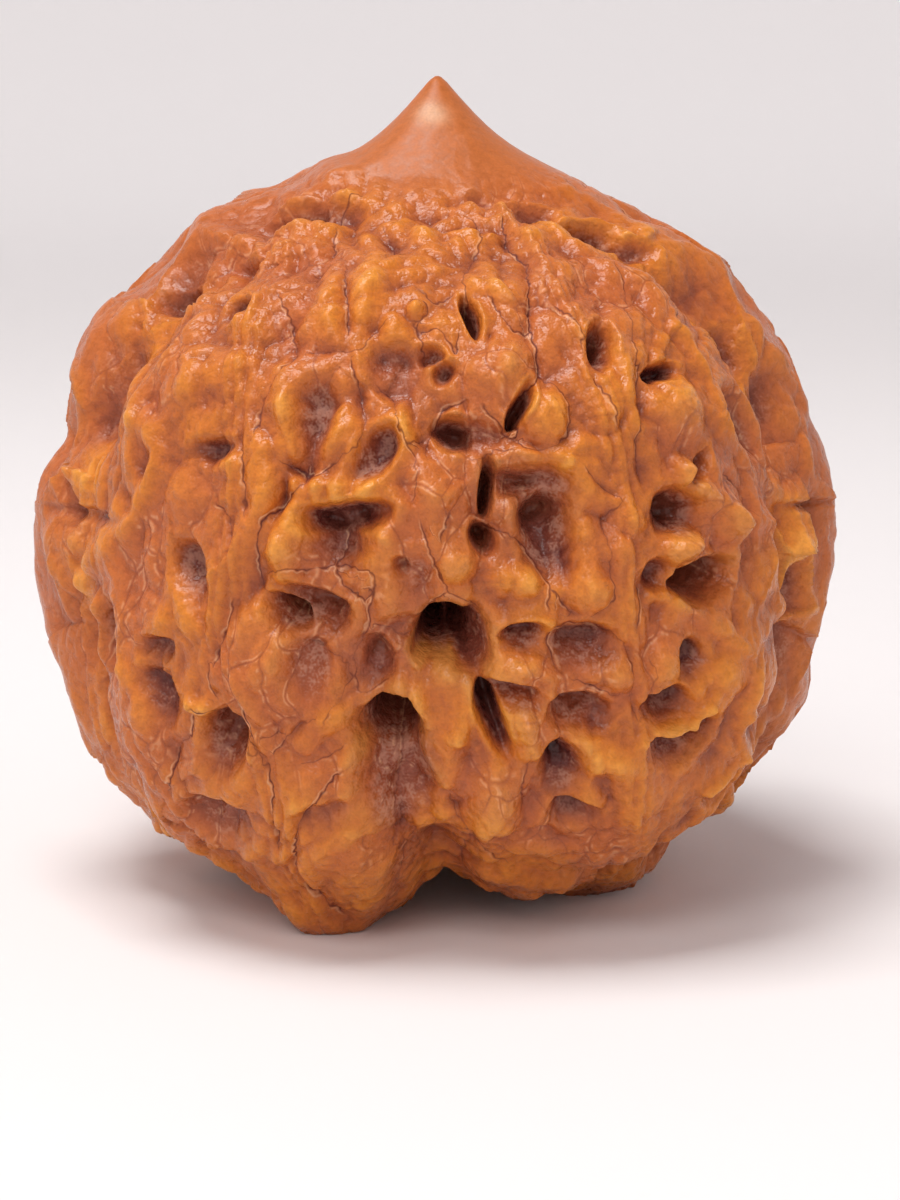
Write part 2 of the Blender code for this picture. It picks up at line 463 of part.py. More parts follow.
def net_relief(points):
    """The net that the rule draws: cells longer than wide, with ridges or seams between, pits and pillows."""
    squeeze = np.array((1.0, 1.0, NET_STRETCH))
    bend = np.stack([hills(points, 3.4, seed) for seed in (11, 12, 13)], axis=1)
    here = (points + 1.1 * bend) * squeeze
    way = spread_points(NET_CELLS, NET_SEED)
    cells = way * body_radius(way)[:, None] * squeeze
    parts = [two_nearest(some, cells) for some in np.array_split(here, 1 + len(here) // 20000)]
    order, near = (np.concatenate(pieces) for pieces in zip(*parts))
    turn = np.argsort(near, axis=1)
    order, near = np.take_along_axis(order, turn, axis=1), np.take_along_axis(near, turn, axis=1)
    own = order[:, 0]
    to_border = (near[:, 1] ** 2 - near[:, 0] ** 2) / 2.0
    to_border /= np.linalg.norm(cells[own] - cells[order[:, 1]], axis=1)

    draw = np.random.default_rng(NET_SEED + 1)
    is_pit = draw.random(NET_CELLS) < PIT_SHARE
    depth = np.where(is_pit, draw.uniform(*PIT_DEPTH, NET_CELLS), -PILLOW_HEIGHT)
    size = draw.uniform(*PIT_SIZE, NET_CELLS)
    spacing = two_nearest(cells, cells)[1].max(axis=1)
    reach = (size * spacing)[own]
    above = smooth(-0.6, 0.6, (here - cells[own])[:, 2] / reach)
    off = near[:, 0] / reach / (1.2 - 0.3 * above)
    sunk = depth[own] * (np.exp(-(off ** (1.8 + 1.8 * above))) + PIT_SKIRT * np.exp(-((off / 1.8) ** 2)))
    swing = hills(points, 6.0, 14)
    ridge = NET_RIDGE_HEIGHT * smooth(-0.3, 0.25, swing) * np.exp(-((to_border / 0.8) ** 2))
    seam = NET_SEAM_DEPTH * smooth(0.15, -0.35, swing) * np.exp(-to_border / 0.5)

    azimuth = np.degrees(np.arctan2(points[:, 1], points[:, 0])) + 7.0 * hills(points, 7.0, 15)
    from_axis = np.hypot(points[:, 0], points[:, 1])
    ribs = np.zeros(len(points))
    for at in MERIDIAN_RIBS:
        off = np.radians(azimuth - at) * from_axis
        ribs = np.maximum(ribs, np.exp(-((off / MERIDIAN_RIB_HALF_WIDTH) ** 2)))
    ribs *= MERIDIAN_RIB_HEIGHT * smooth(3.0, 8.0, from_axis)
    return ridge - seam + ribs - sunk * (1.0 - 0.5 * ribs / MERIDIAN_RIB_HEIGHT)


def fold_relief(points):
    """The folds: round backs with creases between them, longer than wide."""
    bend = np.stack([hills(points, 4.2, seed) for seed in (41, 42, 43)], axis=1)
    here = (points + FOLD_WANDER * bend) * (1.0, 1.0, FOLD_STRETCH)
    return FOLD_HEIGHT * (np.abs(hills(here, FOLD_SIZE, 44)) ** 0.8 - 0.35)


def shell_surface(way):
    """The shell's surface along each unit vector: the body with its relief, faded out at the smooth tip."""
    radius = body_radius(way)
    points = way * radius[:, None]
    facing = way @ eye_frame()[0]
    on_wing = np.exp(-((points[:, 1] / WING_HALF_THICKNESS) ** 4)) * smooth(-0.75, -0.45, way[:, 2])
    net_share = 1.0 - smooth(*FACING_FADE, facing) * (1.0 - NET_SHARE_IN_FRONT)
    net_share *= 1.0 - on_wing * (1.0 - WING_SHARE)
    net_share *= 1.0 - (1.0 - NET_SHARE_UNDER) * smooth(-0.6, -0.85, way[:, 2])
    from_tip = np.degrees(np.arccos(np.clip(way[:, 2], -1.0, 1.0)))
    rough = smooth(*SMOOTH_TIP, from_tip)
    relief = front_relief(points) * (0.3 + 0.7 * rough) + net_relief(points) * net_share * rough
    relief += (0.25 * hills(points, 4.5, 21) + 0.12 * hills(points, 1.9, 22)) * (0.2 + 0.8 * rough)
    relief += fold_relief(points) * (1.0 - on_wing * (1.0 - FOLD_SHARE_ON_WING)) * rough
    return way * (radius + relief)[:, None]


def build_walnut(collection):
    """A cube, split into squares, blown up to a ball and shaped to the shell, then stood on its base."""
    grid = bmesh.new()
    bmesh.ops.create_cube(grid, size=2.0)
    bmesh.ops.subdivide_edges(grid, edges=grid.edges[:], cuts=SQUARES_A_SIDE - 1, use_grid_fill=True)
    way = np.tan(np.array([vertex.co for vertex in grid.verts]) * np.pi / 4.0)
    way /= np.linalg.norm(way, axis=1)[:, None]
    surface = shell_surface(way)
    surface[:, 2] += MIDDLE_HEIGHT
    for vertex, place in zip(grid.verts, surface * METRES):
        vertex.co = place
    bmesh.ops.triangulate(grid, faces=grid.faces[:])
    fine = bpy.data.meshes.new("walnut as modelled")
    grid.to_mesh(fine)
    grid.free()
    walnut = bpy.data.objects.new("walnut", fine)
    collection.objects.link(walnut)
    thinner = walnut.modifiers.new("thin the flat places", "DECIMATE")
    thinner.ratio = TRIANGLES / len(fine.polygons)
    bpy.context.view_layer.update()
    thinned = walnut.evaluated_get(bpy.context.evaluated_depsgraph_get())
    walnut_mesh = bpy.data.meshes.new_from_object(thinned)
    walnut.modifiers.clear()
    walnut.data = walnut_mesh
    bpy.data.meshes.remove(fine)
    places = np.array([vertex.co for vertex in walnut_mesh.vertices])
    places[:, :2] -= (places[:, :2].min(axis=0) + places[:, :2].max(axis=0)) / 2.0
    places[:, 2] = np.maximum(places[:, 2], 0.0)
    for vertex, place in zip(walnut_mesh.vertices, places):
        vertex.co = place
    walnut_mesh.shade_smooth()
    return walnut


def shell_material():
    """Oiled, handled walnut shell."""
    material = bpy.data.materials.new("handled shell")
    material.use_nodes = True
    surface = material.node_tree.nodes["Principled BSDF"]
    surface.inputs["Base Color"].default_value = SHELL_COLOUR
    surface.inputs["Roughness"].default_value = SHELL_ROUGHNESS
    surface.inputs["Metallic"].default_value = 0.0
    return material


def main():
    """Clears the scene and builds the walnut."""
    for old in list(bpy.data.objects):
        bpy.data.objects.remove(old)
    collection = bpy.data.collections.new("walnut")
    bpy.context.scene.collection.children.link(collection)
    walnut = build_walnut(collection)
    walnut.data.materials.append(shell_material())


main()
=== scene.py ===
"""The looks of a walnut in its shell: deeply furrowed, handled until it is waxy, on a pale studio floor.

The nut stays the one piece that the frame holds. Its visual shell repeats the frame's shape by the same
rules, on a mesh fine enough for the seams, and is then thinned where it is flat. Lengths here are in
millimetres, measured from the nut's middle, until a mesh is written.
"""

import itertools
import logging
import math
from dataclasses import dataclass
from enum import Enum
from typing import Any

import bmesh
import bpy
import numpy as np
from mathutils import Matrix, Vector


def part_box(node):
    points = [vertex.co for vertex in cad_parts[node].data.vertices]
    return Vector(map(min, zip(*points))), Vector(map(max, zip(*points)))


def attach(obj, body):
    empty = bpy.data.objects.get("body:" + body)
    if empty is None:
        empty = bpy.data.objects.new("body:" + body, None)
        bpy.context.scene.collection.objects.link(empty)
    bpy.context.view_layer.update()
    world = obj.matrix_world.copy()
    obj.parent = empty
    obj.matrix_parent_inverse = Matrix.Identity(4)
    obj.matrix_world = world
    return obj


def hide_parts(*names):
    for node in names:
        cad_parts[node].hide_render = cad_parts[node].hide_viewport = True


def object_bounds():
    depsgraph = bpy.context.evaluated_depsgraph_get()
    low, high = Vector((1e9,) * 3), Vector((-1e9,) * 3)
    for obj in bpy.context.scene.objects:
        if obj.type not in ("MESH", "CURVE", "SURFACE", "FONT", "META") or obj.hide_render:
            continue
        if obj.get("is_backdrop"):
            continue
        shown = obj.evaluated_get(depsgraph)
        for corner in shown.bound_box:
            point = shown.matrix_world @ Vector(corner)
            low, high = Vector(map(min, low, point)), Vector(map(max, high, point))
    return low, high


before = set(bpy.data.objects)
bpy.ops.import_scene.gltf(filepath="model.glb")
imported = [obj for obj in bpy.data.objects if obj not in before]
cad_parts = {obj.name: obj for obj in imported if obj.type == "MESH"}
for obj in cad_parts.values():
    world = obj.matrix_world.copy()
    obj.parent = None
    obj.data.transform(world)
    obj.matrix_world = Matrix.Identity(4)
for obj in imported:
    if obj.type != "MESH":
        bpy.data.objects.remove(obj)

LOG = logging.getLogger("walnut")
METRES = 0.001
ACROSS_PIXELS = 797.0
ACROSS_MM = 42.0
PICTURE_WIDTH = 900.0
PICTURE_HEIGHT = 1200.0
NUT_MIDDLE_PIXEL = (436.0, 510.0)
BLACK_HOLE_RIM = 2.4


class Wall(Enum):
    """How the wall of a hollow runs round it."""

    GENTLE_BELOW = "steeper above than below"
    EVEN = "the same all round"


@dataclass(frozen=True)
class Hollow:
    """A pit or mound seen at (across, up): half sizes, lean in degrees, depth and how sharp its rim is.

    A mound has a depth below 0.
    """

    across: float
    up: float
    half_width: float
    half_height: float
    lean: float
    depth: float
    rim: float = 1.4

    @property
    def wall(self) -> Wall:
        """How its wall runs: a pit rises gently to its lower rim, a black hole or a mound doesn't."""
        gentle = 0.0 < self.depth and self.rim < BLACK_HOLE_RIM
        return Wall.GENTLE_BELOW if gentle else Wall.EVEN


@dataclass(frozen=True)
class Rib:
    """A raised band along a line of seen points, with fine strands along it where it is a braided one."""

    height: float
    half_width: float
    line: tuple[tuple[float, float], ...]
    strands: float = 0.0


@dataclass(frozen=True)
class Seam:
    """A fine furrow along a line of seen points, with its depth and how dark it is."""

    depth: float
    line: tuple[tuple[float, float], ...]
    dark: float = 0.8


HOLLOWS = {
    "keyhole": Hollow(0.3, -6.8, 1.25, 1.5, -15, 3.7, 3.0),
    "keyhole tail": Hollow(-0.5, -7.4, 0.8, 0.7, 40, 2.4, 2.5),
    "keyhole ledge": Hollow(1.75, -7.1, 0.85, 1.5, -5, 1.9, 2.5),
    "archway": Hollow(-2.5, -11.8, 1.65, 1.35, 0, 3.6, 3.0),
    "valley below the archway": Hollow(-1.9, -13.9, 1.8, 2.6, -6, 1.3),
    "valley foot": Hollow(-0.4, -17.2, 1.9, 1.5, 35, 0.5),
    "slit": Hollow(2.55, -10.5, 0.5, 1.6, 25, 2.0, 1.9),
    "crevice": Hollow(2.65, 1.4, 0.36, 1.3, 4, 2.2, 2.5),
    "crevice foot": Hollow(2.5, -1.2, 0.6, 0.9, 20, 1.9),
    "great hollow": Hollow(6.0, -0.7, 1.2, 1.9, 0, 1.7, 1.8),
    "great hollow brow": Hollow(5.7, 1.5, 1.7, 1.3, -20, 0.9),
    "great hollow corner": Hollow(3.9, 1.9, 1.2, 0.6, 0, 0.9),
    "letter box": Hollow(4.6, -6.6, 1.2, 0.65, 8, 1.1, 1.6),
    "letter box below": Hollow(3.9, -9.3, 1.5, 0.6, -8, 1.1),
    "eye": Hollow(7.5, -7.1, 1.3, 0.95, 10, 1.2),
    "eye below": Hollow(7.5, -10.4, 1.3, 0.8, -5, 1.3),
    "cheek": Hollow(6.6, -13.4, 1.0, 1.4, 10, 1.1),
    "cheek below": Hollow(7.3, -15.9, 1.0, 0.6, 0, 0.9),
    "brow pit": Hollow(0.9, 4.4, 0.8, 0.8, 0, 1.4, 1.8),
    "brow pit floor": Hollow(2.2, 4.2, 1.2, 0.9, -15, 0.8),
    "slanted pit": Hollow(-3.2, 3.5, 0.8, 1.6, -32, 1.3, 1.8),
    "long pit": Hollow(-5.0, 0.0, 1.9, 0.8, 2, 1.5, 1.8),
    "long pit floor": Hollow(-5.2, -1.7, 1.4, 0.8, 0, 0.7),
    "shallow dish": Hollow(-6.4, 5.3, 0.9, 2.2, -8, 0.8),
    "deep corner": Hollow(-7.9, -5.4, 1.0, 0.55, -48, 1.3, 1.8),
    "wide corner": Hollow(-6.5, -4.9, 1.6, 0.9, -20, 1.3),
    "trough": Hollow(-6.9, -8.0, 0.8, 1.7, 5, 0.9),
    "small cup": Hollow(-2.1, -2.7, 0.4, 0.4, 0, 0.5),
    "oval dish": Hollow(-1.3, -3.2, 1.1, 1.4, 10, 0.7),
    "narrow dish": Hollow(-3.3, -8.0, 0.8, 1.4, 0, 0.8),
    "side dish": Hollow(-1.9, -6.0, 0.8, 0.7, 0, 0.4),
    "upper slit": Hollow(1.8, 10.3, 0.42, 1.1, 15, 1.5, 2.5),
    "upper pits": Hollow(0.3, 7.6, 0.55, 0.6, 0, 0.9),
    "upper pit left": Hollow(-0.4, 8.5, 0.6, 0.5, -30, 0.8),
    "round dish": Hollow(-2.4, 8.0, 1.2, 1.2, 0, 0.7),
    "crescent": Hollow(4.3, 5.5, 0.3, 1.1, -28, 1.5, 2.5),
    "left socket": Hollow(-11.8, 3.6, 1.2, 0.6, 0, 0.7),
    "left shade": Hollow(-13.2, -2.8, 0.8, 1.5, 25, 0.9),
    "left gully": Hollow(-17.3, -6.3, 0.7, 1.8, 10, 1.2),
    "left foot pit": Hollow(-11.3, -12.0, 1.2, 1.3, -30, 2.0, 2.0),
    "left foot dish": Hollow(-12.0, -16.2, 1.3, 1.3, 0, 1.2),
    "left pit low": Hollow(-15.0, -9.4, 0.8, 1.3, 0, 0.9),
    "left pit high": Hollow(-14.9, -7.3, 0.7, 0.7, 0, 0.7),
    "lobe brow": Hollow(-5.6, -15.6, 1.5, 0.9, 10, 0.55),
    "lobe brow inner": Hollow(-3.9, -13.8, 0.8, 0.9, 0, 0.4),
    "left crease": Hollow(-9.7, 12.9, 0.8, 0.4, 0, 0.6),
    "left crease low": Hollow(-10.4, 10.8, 0.6, 0.7, 0, 0.8),
    "wing crease": Hollow(-17.2, -0.1, 2.2, 0.35, -4, 0.35),
    "wing crease high": Hollow(-19.2, 1.4, 0.35, 1.6, 28, 0.5),
    "wing dimple": Hollow(-14.2, 11.4, 0.8, 0.5, 25, 1.0),
    "wing shade": Hollow(-16.6, 7.6, 0.9, 2.0, -15, 0.6),
    "under the ridge": Hollow(-7.2, 15.5, 2.5, 0.5, 24, 1.1),
    "tip pit": Hollow(4.7, 15.9, 1.0, 0.5, -5, 0.9),
    "wing pit": Hollow(7.9, 14.7, 1.2, 0.6, -20, 1.7, 2.0),
    "wing slit": Hollow(9.8, 13.9, 1.2, 0.3, -30, 0.8),
    "tip furrow": Hollow(1.9, 17.6, 0.5, 1.6, 0, 0.5),
    "right slot": Hollow(8.4, 8.8, 0.55, 1.3, -20, 1.4),
    "right cup": Hollow(11.6, 7.3, 0.8, 0.45, 15, 1.1),
    "right gully high": Hollow(15.2, 8.0, 0.6, 1.6, -15, 1.2),
    "right gully": Hollow(16.0, 5.1, 0.9, 1.9, 38, 1.3),
    "right cave": Hollow(14.0, -3.4, 1.5, 0.85, 8, 2.7, 1.8),
    "right cave wall": Hollow(12.5, 0.2, 1.1, 1.1, -12, 1.2, 1.8),
    "right cave floor": Hollow(11.5, -3.0, 0.5, 0.8, 0, 0.7),
    "right groove": Hollow(13.4, 2.2, 1.1, 0.35, 50, 0.8),
    "right pit": Hollow(13.5, -7.5, 0.7, 0.9, 0, 1.0),
    "right foot slot": Hollow(12.0, -9.9, 1.2, 0.6, 12, 1.1),
    "right foot pit": Hollow(12.8, -12.1, 1.6, 0.8, 12, 1.3),
    "right foot shade": Hollow(14.0, -11.2, 0.7, 0.6, 40, 1.0),
    "right pocket": Hollow(14.9, -14.6, 1.0, 0.5, 32, 1.2, 2.0),
    "right pocket low": Hollow(13.3, -16.6, 0.8, 0.35, 35, 0.9),
    "right edge dish": Hollow(16.6, -11.2, 0.7, 1.0, 0, 0.9),
    "wing notch": Hollow(19.8, 0.4, 1.3, 0.25, 0, 0.5),
    "wing notch low": Hollow(19.6, -6.7, 0.9, 0.3, -15, 0.5),
}

MOUNDS = {
    "left foot": Hollow(-4.8, -17.8, 2.6, 3.0, 5, -0.8),
    "right foot": Hollow(7.0, -18.4, 2.6, 1.2, 0, -0.3),
    "tongue": Hollow(3.1, -15.4, 1.2, 2.0, -10, -0.9),
    "oval": Hollow(5.4, 5.2, 1.1, 1.5, -5, -0.6),
    "bead": Hollow(1.1, -2.8, 1.0, 0.8, 0, -0.6),
    "left pillow": Hollow(-8.2, -1.8, 1.1, 1.5, 0, -0.5),
    "left bulge": Hollow(-9.0, -7.6, 1.4, 2.4, -5, -0.6),
    "middle pillow": Hollow(4.2, -3.9, 1.2, 0.8, 0, -0.5),
    "right pillow": Hollow(8.0, -4.2, 0.9, 1.1, 0, -0.5),
    "stone in the hollow": Hollow(3.8, 0.3, 0.6, 0.7, 0, -0.4),
    "cheek bone": Hollow(8.3, -12.8, 1.5, 0.9, -20, -0.7),
    "eyelid": Hollow(8.9, -8.6, 0.9, 0.7, 0, -0.4),
    "left knuckle": Hollow(-6.7, -14.4, 0.9, 1.0, 0, -0.3),
    "left knuckle high": Hollow(-5.6, -11.0, 0.8, 0.8, 0, -0.4),
    "right knuckle": Hollow(12.4, 5.1, 1.2, 1.5, -15, -0.7),
    "right knuckle low": Hollow(14.7, -8.8, 1.0, 1.5, 10, -0.6),
    "right knuckle mid": Hollow(11.6, -8.4, 0.8, 1.0, 0, -0.5),
    "right corner": Hollow(17.8, -2.4, 1.2, 1.4, 0, -0.7),
    "wing swell": Hollow(-17.5, 2.2, 1.5, 1.9, -15, -0.6),
    "wing swell low": Hollow(-18.6, -3.0, 1.2, 2.6, 0, -0.5),
    "wing swell high": Hollow(12.6, 13.8, 3.0, 1.1, -38, -0.4),
    "left edge": Hollow(-14.0, -5.6, 1.2, 1.6, 20, -0.5),
    "left edge low": Hollow(-16.0, -10.8, 1.0, 1.8, 10, -0.5),
    "upper pillow": Hollow(-3.4, 11.9, 1.0, 1.8, 0, -0.4),
    "upper pillow left": Hollow(-6.0, 10.6, 0.8, 1.8, 0, -0.3),
    "upper pillow right": Hollow(3.7, 11.6, 0.9, 1.7, 10, -0.4),
    "upper pillow low": Hollow(3.3, 7.5, 1.2, 1.2, 0, -0.4),
    "upper bead": Hollow(-1.2, 10.5, 0.5, 0.5, 0, -0.3),
    "left slope": Hollow(-13.0, 7.3, 1.6, 1.2, 35, -0.5),
    "cave tooth": Hollow(12.6, -1.6, 0.8, 0.9, 0, -1.2, 1.3),
    "right block": Hollow(16.8, -3.4, 1.5, 1.7, 0, -0.6),
}

RIBS = {
    "right band": Rib(0.6, 0.9, ((3.2, 15.4), (5.6, 12.2), (7.3, 9.0), (8.7, 6.0), (9.6, 2.8), (10.0, -1.0),
                                 (9.9, -5.0), (10.4, -9.0), (10.7, -12.5), (10.3, -16.0), (9.1, -18.8)), 0.6),
    "left band": Rib(0.5, 1.1, ((-7.8, 13.8), (-9.6, 10.0), (-10.4, 6.0), (-10.7, 1.0), (-11.2, -4.0),
                                (-11.0, -8.5), (-9.4, -12.0), (-8.2, -15.5), (-7.4, -18.5), (-6.2, -20.8)),
                     0.6),
    "left brow": Rib(0.5, 0.6, ((-4.6, 16.3), (-7.6, 14.3), (-10.6, 12.3), (-13.2, 9.2), (-15.0, 6.6),
                                (-15.6, 5.0), (-14.8, 3.4), (-15.3, 1.2), (-16.1, -1.0), (-17.5, -3.6),
                                (-17.0, -5.8), (-16.4, -8.0))),
    "right brow": Rib(0.5, 0.7, ((5.4, 14.6), (9.0, 12.6), (12.2, 10.2), (14.2, 7.0), (14.9, 5.2),
                                 (16.6, 3.2), (17.6, 0.8), (17.9, -1.6))),
    "right edge": Rib(0.6, 0.8, ((17.9, -1.9), (17.8, -3.8), (17.2, -5.8), (16.4, -8.2), (16.1, -10.2),
                                 (15.9, -12.8))),
    "right bar": Rib(0.9, 0.6, ((12.7, 2.0), (13.6, 1.0), (14.8, -0.2), (15.5, -1.0))),
    "right shelf": Rib(0.4, 0.6, ((14.4, -0.8), (15.8, -0.6), (17.0, -0.6), (17.9, -1.2))),
    "arch": Rib(0.6, 0.45, ((-3.9, -12.0), (-3.5, -10.3), (-2.2, -9.5), (-1.0, -10.1), (-0.5, -11.6),
                            (-0.5, -13.2), (0.3, -14.4))),
    "beam": Rib(0.6, 0.4, ((2.3, -8.3), (4.2, -8.1), (5.9, -8.4))),
    "post": Rib(0.5, 0.4, ((6.0, -6.2), (6.1, -8.4), (5.4, -9.9))),
    "plug": Rib(0.9, 0.6, ((4.5, -10.4), (4.6, -11.6), (4.7, -12.5))),
    "finger": Rib(0.7, 0.45, ((1.4, -9.1), (1.5, -10.4), (1.2, -12.0))),
    "overhang": Rib(0.8, 0.45, ((-13.0, -10.2), (-11.6, -10.8), (-10.3, -11.8), (-9.2, -13.2))),
    "long pit rim": Rib(0.5, 0.5, ((-7.4, 1.4), (-5.0, 1.5), (-2.8, 1.2), (-2.0, 0.0), (-2.7, -1.6))),
    "dish rim": Rib(0.4, 0.5, ((-8.0, 7.4), (-7.9, 5.0), (-7.5, 3.2))),
    "middle web": Rib(0.4, 0.5, ((-2.2, 5.6), (-1.5, 3.6), (-0.9, 1.2), (0.4, 0.6), (1.7, 1.6), (1.9, 2.6))),
    "great hollow lid": Rib(0.5, 0.5, ((2.8, 3.0), (4.6, 3.1), (6.6, 2.9))),
    "right slat": Rib(0.6, 0.6, ((9.2, 8.6), (10.0, 5.2), (10.3, 4.2))),
    "right ledge": Rib(0.5, 0.5, ((11.2, -4.6), (13.0, -4.7), (15.2, -6.4), (16.2, -7.4))),
    "foot ledge": Rib(0.7, 0.35, ((11.2, -11.3), (13.2, -11.0), (14.2, -10.0))),
    "pocket lip": Rib(0.6, 0.35, ((14.1, -14.6), (15.1, -13.8), (16.0, -13.0))),
    "tip ridge": Rib(0.4, 0.9, ((-1.0, 21.0), (-3.2, 18.4), (-5.4, 17.4))),
    "tip fold": Rib(0.7, 0.45, ((1.5, 19.6), (1.8, 18.4), (2.0, 16.8))),
}

